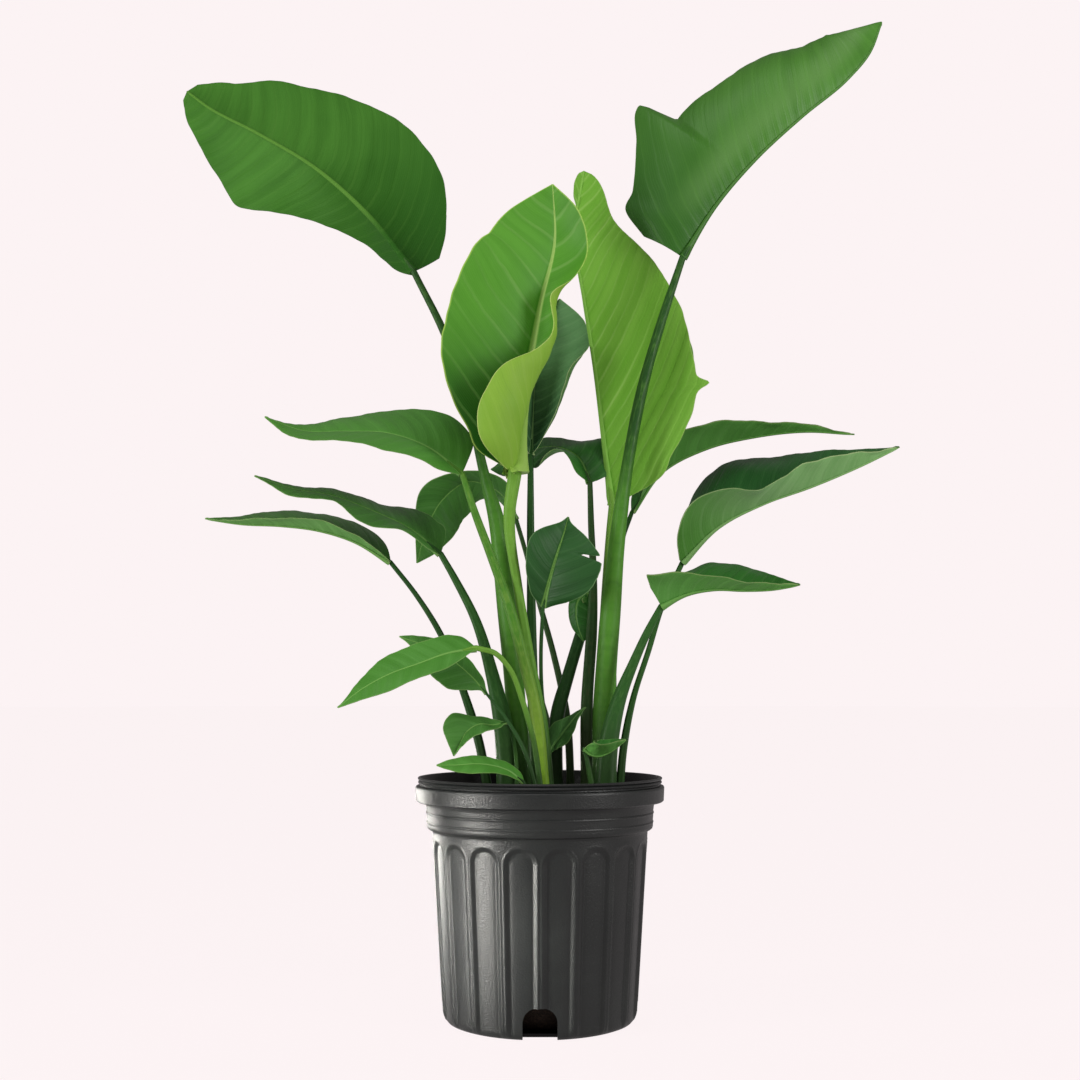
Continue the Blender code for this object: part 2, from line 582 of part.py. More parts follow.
def build_petiole(name: str) -> None:
    """Bevel a poly curve into a tapering petiole with filled ends."""
    line = petiole_line(name)
    curve = bpy.data.curves.new(name + "_petiole", "CURVE")
    curve.dimensions = "3D"
    curve.bevel_depth = MM
    curve.bevel_resolution = TUBE_RESOLUTION
    curve.use_fill_caps = True
    track = curve.splines.new("POLY")
    track.points.add(len(line) - 1)
    for point, (x, y, z, radius) in zip(track.points, line):
        point.co = (x * MM, y * MM, z * MM, 1.0)
        point.radius = radius
    item = bpy.data.objects.new(name + "_petiole", curve)
    bpy.context.collection.objects.link(item)
    select_only(item)
    bpy.ops.object.convert(target="MESH")
    item = bpy.context.active_object
    item.name = name + "_petiole"
    work = bmesh.new()
    work.from_mesh(item.data)
    bmesh.ops.remove_doubles(work, verts=work.verts, dist=1e-6)
    bmesh.ops.recalc_face_normals(work, faces=work.faces)
    work.to_mesh(item.data)
    work.free()
    give_finish(item, STEM_FINISH)


def main() -> None:
    """Build every piece of the potted plant."""
    clear_scene()
    build_pot()
    build_mix()
    for name, blade in BLADES.items():
        build_blade(name, blade)
    for name in PETIOLES:
        build_petiole(name)


main()
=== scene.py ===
"""A potted bird of paradise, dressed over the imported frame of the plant.

The plant is four kinds of pieces.  A nursery pot stands on the floor and is
filled with potting mix.  Stalks rise out of the mix, and each stalk carries one
blade.  A blade is described as a grower would describe it: the line that its
midrib takes through the air, how wide each half of it is along that line, how
far each half is lifted or folded, and how much it curls.  Lengths in the tables
are millimetres, and everything that is built is in metres, +Z up, with the
front of the plant towards -Y.
"""
from __future__ import annotations

import logging
import math
import random
from collections.abc import Iterator
from contextlib import contextmanager
from dataclasses import dataclass
from enum import Enum
from typing import ClassVar, NamedTuple

import bmesh
import bpy
import numpy as np
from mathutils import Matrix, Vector, noise


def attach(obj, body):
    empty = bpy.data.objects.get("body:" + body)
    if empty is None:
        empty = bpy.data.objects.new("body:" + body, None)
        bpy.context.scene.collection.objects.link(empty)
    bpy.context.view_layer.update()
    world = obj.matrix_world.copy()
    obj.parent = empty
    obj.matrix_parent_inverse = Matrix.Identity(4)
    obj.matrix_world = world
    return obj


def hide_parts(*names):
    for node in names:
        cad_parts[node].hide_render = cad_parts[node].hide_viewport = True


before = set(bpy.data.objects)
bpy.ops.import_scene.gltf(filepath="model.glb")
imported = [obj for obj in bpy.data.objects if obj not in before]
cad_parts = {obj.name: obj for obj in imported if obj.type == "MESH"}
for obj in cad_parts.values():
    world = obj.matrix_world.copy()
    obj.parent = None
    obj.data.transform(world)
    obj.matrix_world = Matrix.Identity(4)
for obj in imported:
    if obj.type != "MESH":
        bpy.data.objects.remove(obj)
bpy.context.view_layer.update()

log = logging.getLogger("plant")

MM = 0.001
BODY = "root"
Points = tuple[tuple[float, ...], ...]
Color = tuple[float, float, float]

# where the widths of a blade are given, as shares of the length of its midrib
STATIONS = (0.04, 0.12, 0.25, 0.42, 0.60, 0.78, 0.92)
# how far a margin is ragged, as a share of its reach, and how often, rad per length
RAGGED = ((0.005, 31.0), (0.003, 83.0))
LEAST_CURL = 0.01  # radians, so that an arc never turns quite straight

BACKDROP = (0.973, 0.896, 0.905)
DAYLIGHT = (1.0, 0.985, 0.965)
LAMPLIGHT = (1.0, 0.975, 0.91)


class Side(Enum):
    """Which face of a blade looks forward."""

    UPPER = "upper"
    UNDER = "under"


class Grade(Enum):
    """How finely a blade is made: rows along it and columns across each half."""

    LARGE = (150, 30)
    MEDIUM = (100, 22)
    SMALL = (64, 16)


# ---- curves and frames -------------------------------------------


def unit(vectors: np.ndarray) -> np.ndarray:
    """Scale vectors to length one.

    Args:
        vectors: Any array whose last axis holds the vectors.

    Returns:
        The same array with every vector scaled to length one.
    """
    size = np.linalg.norm(vectors, axis=-1, keepdims=True)
    return vectors / np.maximum(size, 1e-9)


def smoothstep(low: float, high: float, value: np.ndarray) -> np.ndarray:
    """Ease from 0 at low to 1 at high.

    Args:
        low: Where the step starts.
        high: Where the step ends.
        value: The values to ease.

    Returns:
        The eased values, between 0 and 1.
    """
    t = np.clip((value - low) / (high - low), 0.0, 1.0)
    return t * t * (3.0 - 2.0 * t)


def cubic(s: np.ndarray, width: np.ndarray, ends: tuple[np.ndarray, np.ndarray],
          slopes: tuple[np.ndarray, np.ndarray]) -> np.ndarray:
    """Blend from one value to the next with a given slope at both.

    Args:
        s: How far along the span to read, 0 to 1.
        width: The width of the span.
        ends: The values at its two ends.
        slopes: The slopes there.

    Returns:
        The blended values.
    """
    return (
        (2 * s**3 - 3 * s**2 + 1) * ends[0]
        + (s**3 - 2 * s**2 + s) * width * slopes[0]
        + (3 * s**2 - 2 * s**3) * ends[1]
        + (s**3 - s**2) * width * slopes[1]
    )


def spline(points: Points, count: int) -> np.ndarray:
    """Sample a smooth curve through points at even steps of its chord length.

    Args:
        points: The points the curve passes through, with any number of columns.
        count: How many samples to take.

    Returns:
        An array of samples, one row each.
    """
    knots = np.asarray(points, dtype=float)
    chord = np.linalg.norm(np.diff(knots[:, :3], axis=0), axis=1)
    at = np.concatenate([[0.0], np.cumsum(chord)]) / chord.sum()
    width = np.diff(at)
    steps = np.diff(knots, axis=0) / width[:, None]
    slope = np.concatenate([steps[:1], steps])
    for i in range(1, len(knots) - 1):
        total = width[i - 1] + width[i]
        slope[i] = (steps[i - 1] * width[i] + steps[i] * width[i - 1]) / total
    share = np.linspace(0.0, 1.0, count)
    i = np.clip(np.searchsorted(at, share) - 1, 0, len(knots) - 2)
    s = ((share - at[i]) / width[i])[:, None]
    return cubic(s, width[i][:, None], (knots[i], knots[i + 1]), (slope[i], slope[i + 1]))


def along(shares: np.ndarray, at: tuple[float, ...], values: tuple[float, ...]) -> np.ndarray:
    """Read a smooth curve through values that stand at given shares of a length.

    Args:
        shares: Where to read the curve.
        at: The shares at which the values stand.
        values: The values.

    Returns:
        The smooth values at the shares, never past a local high or low.
    """
    x = np.array(at, dtype=float)
    y = np.array(values, dtype=float)
    slope = np.gradient(y, x)
    turn = np.sign(np.diff(y, prepend=y[0])) * np.sign(np.diff(y, append=y[-1])) <= 0
    slope[1:-1][turn[1:-1]] = 0.0
    i = np.clip(np.searchsorted(x, shares) - 1, 0, len(x) - 2)
    width = x[i + 1] - x[i]
    return cubic((shares - x[i]) / width, width, (y[i], y[i + 1]), (slope[i], slope[i + 1]))


def evenly(shares: np.ndarray, values: tuple[float, ...]) -> np.ndarray:
    """Read a smooth curve through values spaced evenly from 0 to 1.

    Args:
        shares: Where to read the curve.
        values: The values, first at 0 and last at 1.

    Returns:
        The smooth values at the shares.
    """
    return along(shares, tuple(np.linspace(0.0, 1.0, len(values))), values)


def run_length(line: np.ndarray) -> np.ndarray:
    """Measure the distance along a line.

    Args:
        line: Points along the line.

    Returns:
        The distance from the first point to each point.
    """
    steps = np.linalg.norm(np.diff(line, axis=0), axis=1)
    return np.concatenate([[0.0], np.cumsum(steps)])


def carried_frames(line: np.ndarray) -> tuple[np.ndarray, np.ndarray]:
    """Carry a frame that starts facing the front along a line, without twisting it.

    Args:
        line: Points along the line.

    Returns:
        The front and the right hand direction at every point.
    """
    tangent = unit(np.gradient(line, axis=0))
    front = np.zeros_like(line)
    start = np.array((0.0, -1.0, 0.0))
    front[0] = unit(start - tangent[0] * tangent[0].dot(start))
    for i in range(1, len(line)):
        step = line[i] - line[i - 1]
        moved = front[i - 1] - 2 * step * step.dot(front[i - 1]) / step.dot(step)
        ahead = tangent[i - 1] - 2 * step * step.dot(tangent[i - 1]) / step.dot(step)
        turn = tangent[i] - ahead
        if turn.dot(turn) > 1e-12:
            moved = moved - 2 * turn * turn.dot(moved) / turn.dot(turn)
        front[i] = unit(moved - tangent[i] * tangent[i].dot(moved))
    return front, np.cross(tangent, front)


# ---- the bench: object and edit mode work that every piece shares ----


class Bench:
    """The few object and edit mode steps that every piece goes through."""

    @staticmethod
    def clear() -> None:
        """Leave edit mode and deselect everything."""
        if bpy.context.object and bpy.context.object.mode != "OBJECT":
            bpy.ops.object.mode_set(mode="OBJECT")
        bpy.ops.object.select_all(action="DESELECT")

    @staticmethod
    def take(item: bpy.types.Object) -> None:
        """Make one object the only selected one, and the active one.

        Args:
            item: The object to take up.
        """
        Bench.clear()
        item.select_set(True)
        bpy.context.view_layer.objects.active = item

    @staticmethod
    def name(item: bpy.types.Object, name: str) -> None:
        """Name an object and its mesh.

        Args:
            item: The object.
            name: The new name.
        """
        item.name = name
        item.data.name = name

    @staticmethod
    def sheet(name: str, columns: int,
              rows: int) -> tuple[bpy.types.Object, np.ndarray, np.ndarray]:
        """Add a flat grid to shape into a sheet or a tube.

        Args:
            name: The name of the new object.
            columns: How many vertices across.
            rows: How many vertices along.

        Returns:
            The object, and the column and the row of each of its vertices.
        """
        Bench.clear()
        bpy.ops.mesh.primitive_grid_add(
            x_subdivisions=columns - 1, y_subdivisions=rows - 1, size=2.0, calc_uvs=True)
        item = bpy.context.active_object
        Bench.name(item, name)
        flat = np.empty(len(item.data.vertices) * 3)
        item.data.vertices.foreach_get("co", flat)
        flat = flat.reshape(-1, 3)
        column = np.round((flat[:, 0] + 1.0) / 2.0 * (columns - 1)).astype(int)
        row = np.round((flat[:, 1] + 1.0) / 2.0 * (rows - 1)).astype(int)
        return item, column, row

    @staticmethod
    def place(item: bpy.types.Object, points: np.ndarray) -> None:
        """Move the vertices of an object to new places.

        Args:
            item: The object.
            points: One place in metres for each vertex.
        """
        item.data.vertices.foreach_set("co", np.ascontiguousarray(points, dtype=float).ravel())
        item.data.update()

    @staticmethod
    def note(item: bpy.types.Object, name: str, values: np.ndarray) -> None:
        """Store three numbers for each vertex, for a material to read.

        Args:
            item: The object.
            name: The name of the attribute.
            values: Three numbers for each vertex.
        """
        layer = item.data.attributes.new(name, "FLOAT_VECTOR", "POINT")
        layer.data.foreach_set("vector", np.ascontiguousarray(values, dtype=np.float32).ravel())

    @staticmethod
    def apply(item: bpy.types.Object, modifier: bpy.types.Modifier) -> None:
        """Apply a modifier to its object.

        Args:
            item: The object that carries the modifier.
            modifier: The modifier.
        """
        Bench.take(item)
        bpy.ops.object.modifier_apply(modifier=modifier.name)

    @staticmethod
    @contextmanager
    def edit(kind: str = "VERT") -> Iterator[None]:
        """Hold the active mesh in edit mode, all of it selected.

        Args:
            kind: What is selected, "VERT" or "EDGE".

        Yields:
            Nothing: the work is done with operators.
        """
        bpy.ops.object.mode_set(mode="EDIT")
        bpy.ops.mesh.select_mode(type=kind)
        bpy.ops.mesh.select_all(action="SELECT")
        yield
        bpy.ops.object.mode_set(mode="OBJECT")

    @staticmethod
    def join(items: list[bpy.types.Object]) -> bpy.types.Object:
        """Put objects in their places and join them.

        Args:
            items: The objects.

        Returns:
            The first object, which now holds all of them.
        """
        Bench.clear()
        for item in items:
            item.select_set(True)
        bpy.context.view_layer.objects.active = items[0]
        bpy.ops.object.transform_apply(location=True, rotation=True, scale=True)
        bpy.ops.object.join()
        return items[0]

    @staticmethod
    def close(item: bpy.types.Object, merge: float = 1e-6) -> None:
        """Merge the doubles of a mesh, fill its open ends and turn its faces out.

        Args:
            item: The object.
            merge: How near two vertices are to be one, in metres.
        """
        Bench.take(item)
        with Bench.edit():
            bpy.ops.mesh.remove_doubles(threshold=merge)
            bpy.ops.mesh.select_all(action="SELECT")
            bpy.ops.mesh.fill_holes(sides=0)
            bpy.ops.mesh.select_all(action="SELECT")
            bpy.ops.mesh.normals_make_consistent(inside=False)

    @staticmethod
    def smooth(item: bpy.types.Object, angle: float = 50.0) -> None:
        """Shade an object smooth, apart from its sharp edges.

        Args:
            item: The object.
            angle: Edges sharper than this many degrees stay sharp.
        """
        Bench.take(item)
        bpy.ops.object.shade_smooth_by_angle(angle=math.radians(angle))

    @staticmethod
    def hand_over(item: bpy.types.Object, slot: str, *nodes: str) -> None:
        """Put a finished piece on the plant in place of the solids it stands for.

        Args:
            item: The finished piece.
            slot: The name of a material slot, not used.
            nodes: The solids that it replaces.
        """
        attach(item, BODY)
        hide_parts(*nodes)
        log.info("%s: %d faces", item.name, len(item.data.polygons))


# ---- finishes ----------------------------------------------------


class Graph:
    """A short way to write the node graph of a material."""

    def __init__(self, name: str) -> None:
        """Start a material with an empty graph, a shader and an output.

        Args:
            name: The name of the material.
        """
        self.material = bpy.data.materials.new(name)
        self.material.use_nodes = True
        self.tree = self.material.node_tree
        self.tree.nodes.clear()
        self.shader = self.node("ShaderNodeBsdfPrincipled")
        output = self.node("ShaderNodeOutputMaterial")
        self.tree.links.new(self.shader.outputs["BSDF"], output.inputs["Surface"])

    def node(self, kind: str, **settings: object) -> bpy.types.Node:
        """Add a node.

        Args:
            kind: The type of the node.
            settings: Properties to set on it.

        Returns:
            The new node.
        """
        made = self.tree.nodes.new(kind)
        for key, value in settings.items():
            setattr(made, key, value)
        return made

    def feed(self, socket: bpy.types.NodeSocket, value: object) -> None:
        """Set a socket to a constant, or link another socket to it.

        Args:
            socket: The input.
            value: A number, a colour, or an output socket.
        """
        if isinstance(value, bpy.types.NodeSocket):
            self.tree.links.new(value, socket)
        elif isinstance(value, tuple) and len(value) == 3 and socket.type == "RGBA":
            socket.default_value = (*value, 1.0)
        else:
            socket.default_value = value

    def math(self, operation: str, *values: object) -> bpy.types.NodeSocket:
        """Add a Math node.

        Args:
            operation: Its operation.
            values: Its inputs.

        Returns:
            Its output.
        """
        made = self.node("ShaderNodeMath", operation=operation)
        for socket, value in zip(made.inputs, values):
            self.feed(socket, value)
        return made.outputs[0]

    def times(self, first: object, second: object) -> bpy.types.NodeSocket:
        """Multiply two numbers."""
        return self.math("MULTIPLY", first, second)

    def ramp(self, value: object, low: float, high: float, start: float = 0.0,
             end: float = 1.0) -> bpy.types.NodeSocket:
        """Ease a value from one range to another.

        Args:
            value: The value.
            low: Where the step starts.
            high: Where the step ends.
            start: The result at low.
            end: The result at high.

        Returns:
            The eased value.
        """
        made = self.node("ShaderNodeMapRange", interpolation_type="SMOOTHSTEP")
        for name, number in (
                ("Value", value), ("From Min", low), ("From Max", high),
                ("To Min", start), ("To Max", end)):
            self.feed(made.inputs[name], number)
        return made.outputs["Result"]

    def mix(self, factor: object, first: object, second: object) -> bpy.types.NodeSocket:
        """Mix two colours.

        Args:
            factor: How much of the second.
            first: The first colour.
            second: The second colour.

        Returns:
            The mixed colour.
        """
        made = self.node("ShaderNodeMix", data_type="RGBA")
        self.feed(made.inputs[0], factor)
        self.feed(made.inputs[6], first)
        self.feed(made.inputs[7], second)
        return made.outputs[2]

    def noise(self, vector: object, scale: float, detail: float = 2.0,
              roughness: float = 0.5) -> bpy.types.NodeSocket:
        """Add a Noise Texture.

        Args:
            vector: Where it is read.
            scale: How many waves to a unit.
            detail: How many finer octaves.
            roughness: How strong the finer octaves are.

        Returns:
            Its value.
        """
        made = self.node("ShaderNodeTexNoise")
        self.feed(made.inputs["Vector"], vector)
        made.inputs["Scale"].default_value = scale
        made.inputs["Detail"].default_value = detail
        made.inputs["Roughness"].default_value = roughness
        return made.outputs["Fac"]

    def combine(self, x: object, y: object, z: object) -> bpy.types.NodeSocket:
        """Join three numbers into a vector.

        Args:
            x: The first.
            y: The second.
            z: The third.

        Returns:
            The vector.
        """
        made = self.node("ShaderNodeCombineXYZ")
        for socket, value in zip(made.inputs, (x, y, z)):
            self.feed(socket, value)
        return made.outputs[0]

    def attribute(self, name: str) -> tuple[bpy.types.NodeSocket, ...]:
        """Read the three numbers that a piece keeps under a name.

        Args:
            name: The name of the attribute.

        Returns:
            The three numbers.
        """
        read = self.node("ShaderNodeAttribute", attribute_name=name)
        split = self.node("ShaderNodeSeparateXYZ")
        self.feed(split.inputs[0], read.outputs["Vector"])
        return tuple(split.outputs)

    def place(self) -> bpy.types.NodeSocket:
        """Return the Object coordinates."""
        return self.node("ShaderNodeTexCoord").outputs["Object"]

    def surface(self, color: object, roughness: object, gloss: float) -> None:
        """Give the shader its colour and its sheen.

        Args:
            color: The colour.
            roughness: How dull it is.
            gloss: How strongly it reflects.
        """
        self.feed(self.shader.inputs["Base Color"], color)
        self.feed(self.shader.inputs["Roughness"], roughness)
        self.shader.inputs["Specular IOR Level"].default_value = gloss

    def bump(self, height: object, strength: float, distance: float) -> None:
        """Give the shader a bump.

        Args:
            height: The height, between 0 and 1.
            strength: How much of it shows.
            distance: The height in metres that 1 stands for.
        """
        made = self.node("ShaderNodeBump")
        made.inputs["Strength"].default_value = strength
        made.inputs["Distance"].default_value = distance
        self.feed(made.inputs["Height"], height)
        self.feed(self.shader.inputs["Normal"], made.outputs["Normal"])


class Finish:
    """A finish of the plant, the pot or the floor: one material under one name.

    Attributes:
        name: The name of the material.
        made: The materials made so far, each under its name.
    """

    name: str
    made: ClassVar[dict[str, bpy.types.Material]] = {}

    def paint(self, g: Graph) -> None:
        """Write the graph of the material.

        Args:
            g: The empty graph.
        """
        raise NotImplementedError

    def make(self) -> bpy.types.Material:
        """Make the material, or find it again once it has been made.

        Returns:
            The material.
        """
        if self.name not in self.made:
            graph = Graph(self.name)
            self.paint(graph)
            self.made[self.name] = graph.material
        return self.made[self.name]


@dataclass(frozen=True)
class LeafFinish(Finish):
    """The skin of one face of a blade.

    Attributes:
        name: The name of the material.
        deep: The colour between the veins.
        light: The colour of the broad lighter bands.
        vein: The colour of the side veins.
        rib: The colour of the midrib.
        margin: The colour of the thin edge.
        roughness: How dull the skin is.
        gloss: How strongly it reflects.
        relief: How deep the side veins are pressed in.
        vein_show: How clearly the side veins show.
        rib_show: How clearly the midrib shows.
        rib_from: The share of the length where the midrib's colour sets in.
        vein_width: How wide a clear side vein is, m.
        pitch: How far the clear side veins stand apart, m.
        fine_pitch: How far the fine veins between them stand apart, m.
        drift: How far a vein drifts off its line, m.
        stagger: How far the two halves' veins stand off from the middle of a step, m.
        margin_width: How wide the thin edge shows, m.
        foot: The colour towards the stalk.
        foot_reach: The share of the length over which that colour fades, none at 0.
        painted_sheen: The colour of a painted satin highlight in a band beside the midrib, if it
            has one.
    """

    name: str
    deep: Color
    light: Color
    vein: Color
    rib: Color
    margin: Color
    roughness: float = 0.45
    gloss: float = 0.30
    relief: float = 0.35
    vein_show: float = 0.40
    rib_show: float = 0.9
    rib_from: float = -0.2
    vein_width: float = 0.0030
    pitch: float = 0.0125
    fine_pitch: float = 0.0027
    drift: float = 0.0075
    stagger: float = 0.0031
    margin_width: float = 0.0012
    foot: Color = (0.0, 0.0, 0.0)
    foot_reach: float = 0.0
    painted_sheen: Color | None = None

    @staticmethod
    def lines(g: Graph, along_veins: object, pitch: float, sharp: float) -> bpy.types.NodeSocket:
        """Draw a line every so often, across the direction that a value grows in.

        Args:
            g: The graph.
            along_veins: The value, m.
            pitch: How far the lines stand apart, m.
            sharp: How narrow a line is.

        Returns:
            1 on a line, 0 between two.
        """
        wave = g.math("SINE", g.times(along_veins, math.tau / pitch))
        return g.math("POWER", g.ramp(wave, -1.0, 1.0), sharp)

    def paint(self, g: Graph) -> None:
        """Write the graph of the material.

        Args:
            g: The empty graph.
        """
        vein, across, edge = g.attribute("vein")
        share, rib, half = g.attribute("place")
        # side veins that wander, out of step between the two halves
        wander = g.noise(g.place(), 28.0, 2.0)
        bent = g.math("ADD", vein, g.times(wander, self.drift))
        bent = g.math("ADD", bent, g.times(half, self.stagger))
        main = self.lines(g, bent, self.pitch, (self.pitch / self.vein_width) ** 2)
        fine = self.lines(g, bent, self.fine_pitch, 3.0)
        # lighter bands along the veins, and clouds over all of them
        bands = g.noise(g.combine(g.times(vein, 70.0), g.times(across, 6.0), half), 1.0, 3.0, 0.55)
        cloud = g.noise(g.place(), 7.0, 3.0, 0.5)
        tone = g.math("ADD", g.times(g.ramp(bands, 0.25, 0.75), 0.45),
                      g.times(g.ramp(cloud, 0.30, 0.70), 0.55))
        color = g.mix(tone, self.deep, self.light)
        if self.foot_reach:
            color = g.mix(g.ramp(share, 0.06, self.foot_reach, 1.0, 0.0), color, self.foot)
        # a painted satin highlight: a lighter band beside the midrib, fading in from the stalk
        if self.painted_sheen:
            band = g.times(g.ramp(across, 0.006, 0.024), g.ramp(across, 0.026, 0.052, 1.0, 0.0))
            band = g.times(band, g.ramp(share, 0.05, 0.25))
            color = g.mix(g.times(band, g.ramp(cloud, 0.2, 0.7, 0.20, 0.50)), color, self.painted_sheen)
        # the veins fade towards the margin, the midrib towards the stalk
        fade = g.times(g.ramp(bands, 0.30, 0.70, 0.15, 1.0),
                       g.ramp(across, 0.002, 0.085, 1.0, 0.25))
        shown = g.times(main, g.times(fade, self.vein_show))
        color = g.mix(shown, color, self.vein)
        color = g.mix(g.times(fine, 0.07), color, self.vein)
        on_rib = g.times(g.ramp(rib, 0.55, 1.25, 1.0, 0.0),
                         g.ramp(share, self.rib_from, self.rib_from + 0.2, 0.0, self.rib_show))
        color = g.mix(on_rib, color, self.rib)
        color = g.mix(g.ramp(edge, 0.0003, self.margin_width, 0.8, 0.0), color, self.margin)
        dull = g.ramp(cloud, 0.2, 0.8, self.roughness - 0.05, self.roughness + 0.06)
        g.surface(color, dull, self.gloss)
        # bands stand up between the veins, and the midrib stays smooth
        height = g.math("SUBTRACT", g.times(bands, 0.8), g.times(main, 0.5))
        height = g.math("SUBTRACT", height, g.times(fine, 0.10))
        g.bump(g.times(height, g.ramp(rib, 0.9, 1.6)), self.relief, 0.0012)


@dataclass(frozen=True)
class StalkFinish(Finish):
    """The skin of a stalk.

    Attributes:
        name: The name of the material.
        foot: The colour near the mix.
        top: The colour under the blade.
        streak: The colour of the streaks along it.
        foot_from: The share of the stalk where the foot colour starts to fade.
        foot_reach: The share of the stalk where it has gone.
        foot_tone_and_shade: The darker colour low on the stalk by the mix, partly its own colour
            and partly painted shade among the crowded stalks.
        roughness: How dull the skin is.
        gloss: How strongly it reflects.
    """

    name: str
    foot: Color
    top: Color
    streak: Color
    foot_from: float = 0.0
    foot_reach: float = 0.35
    foot_tone_and_shade: Color = (0.026, 0.066, 0.018)
    roughness: float = 0.44
    gloss: float = 0.20

    def paint(self, g: Graph) -> None:
        """Write the graph of the material.

        Args:
            g: The empty graph.
        """
        turn, length, share = g.attribute("stalk")
        # fine fibres along the stalk, and broad darker patches
        fibre = g.noise(g.combine(g.times(turn, 26.0), g.times(length, 9.0), 0.0), 1.0, 3.0, 0.6)
        broad = g.noise(g.combine(g.times(turn, 4.0), g.times(length, 14.0), 3.7), 1.0, 2.0)
        color = g.mix(g.ramp(share, self.foot_from, self.foot_reach), self.foot, self.top)
        color = g.mix(g.times(g.ramp(fibre, 0.40, 0.75), 0.40), color, self.streak)
        # darker low on the stalk: partly its own colour, partly painted shade among the crowded
        # stalks
        color = g.mix(g.ramp(length, 0.20, 1.15, 0.85, 0.0), color, self.foot_tone_and_shade)
        color = g.mix(g.times(g.ramp(broad, 0.5, 0.85), 0.25), color,
                      tuple(0.45 * c for c in self.top))
        dull = g.ramp(broad, 0.2, 0.8, self.roughness - 0.05, self.roughness + 0.07)
        g.surface(color, dull, self.gloss)
        g.bump(fibre, 0.35, 0.0006)


@dataclass(frozen=True)
class PotFinish(Finish):
    """Satin black moulded plastic with a fine grain and a little dust.

    Attributes:
        name: The name of the material.
        color: The colour of the plastic.
        dust: The colour where dust lies on it.
        roughness: How dull it is.
        gloss: How strongly it reflects.
    """

    name: str
    color: Color
    dust: Color
    roughness: float = 0.39
    gloss: float = 0.48

    def paint(self, g: Graph) -> None:
        """Write the graph of the material.

        Args:
            g: The empty graph.
        """
        grain = g.noise(g.place(), 620.0, 2.0)
        patch = g.noise(g.place(), 16.0, 4.0, 0.6)
        color = g.mix(g.ramp(patch, 0.35, 0.80, 0.0, 0.35), self.color, self.dust)
        dull = g.ramp(patch, 0.2, 0.8, self.roughness - 0.03, self.roughness + 0.05)
        g.surface(color, g.math("ADD", dull, g.times(grain, 0.04)), self.gloss)
        g.bump(grain, 0.75, 0.0004)


POT_BLACK = PotFinish("pot_black", (0.0080, 0.0099, 0.0094), (0.026, 0.031, 0.028))
# the same plastic, darker and duller: painted shade inside the pot
POT_SHADED_INSIDE = PotFinish("pot_inside_painted_shade", (0.003, 0.003, 0.003), (0.008, 0.008, 0.007), gloss=0.2)


@dataclass(frozen=True)
class MixFinish(Finish):
    """Damp dark peat with paler crumbs.

    Attributes:
        name: The name of the material.
        peat: The colour of the peat.
        crumb: The colour of the crumbs in it.
        roughness: How dull it is.
        gloss: How strongly it reflects.
    """

    name: str = "potting_mix"
    peat: Color = (0.016, 0.011, 0.008)
    crumb: Color = (0.075, 0.050, 0.032)
    roughness: float = 0.92
    gloss: float = 0.2

    def paint(self, g: Graph) -> None:
        """Write the graph of the material.

        Args:
            g: The empty graph.
        """
        fine = g.noise(g.place(), 420.0, 5.0, 0.65)
        clump = g.noise(g.place(), 90.0, 3.0)
        tone = g.times(g.ramp(fine, 0.42, 0.75), g.ramp(clump, 0.3, 0.7, 0.35, 1.0))
        g.surface(g.mix(tone, self.peat, self.crumb), self.roughness, self.gloss)
        g.bump(fine, 0.8, 0.003)


@dataclass(frozen=True)
class BarkFinish(Finish):
    """Weathered chips of bark in the mix.

    Attributes:
        name: The name of the material.
        dark: The colour of a damp chip.
        pale: The colour of a weathered one.
        roughness: How dull it is.
        gloss: How strongly it reflects.
    """

    name: str = "bark_chip"
    dark: Color = (0.040, 0.024, 0.014)
    pale: Color = (0.170, 0.110, 0.065)
    roughness: float = 0.85
    gloss: float = 0.2

    def paint(self, g: Graph) -> None:
        """Write the graph of the material.

        Args:
            g: The empty graph.
        """
        grain = g.noise(g.place(), 240.0, 4.0, 0.6)
        lot = g.noise(g.place(), 60.0, 1.0)
        tone = g.times(g.ramp(grain, 0.35, 0.7), g.ramp(lot, 0.4, 0.65))
        g.surface(g.mix(tone, self.dark, self.pale), self.roughness, self.gloss)
        g.bump(grain, 0.6, 0.001)


@dataclass(frozen=True)
class FloorFinish(Finish):
    """A pale, even studio floor that keeps only a very soft shadow.

    Attributes:
        name: The name of the material.
        color: The colour that it shows.
        shade: How much of that colour answers to the light, and so to shadow.
        bounce: How much of it the floor throws back onto the plant.
    """

    name: str = "floor_pale"
    color: Color = BACKDROP
    shade: float = 0.03
    bounce: float = 0.52

    def paint(self, g: Graph) -> None:
        """Write the graph of the material.

        Args:
            g: The empty graph.
        """
        cloud = g.noise(g.place(), 0.8, 2.0)
        near = tuple(self.shade * c for c in self.color)
        less = tuple(0.97 * c for c in near)
        g.surface(g.mix(cloud, near, less), 1.0, 0.0)
        g.feed(g.shader.inputs["Emission Color"], self.color)
        seen = g.node("ShaderNodeLightPath").outputs["Is Camera Ray"]
        lift = 1.0 - self.shade * 0.6 - self.bounce
        g.feed(g.shader.inputs["Emission Strength"],
               g.math("ADD", g.times(seen, lift), self.bounce))


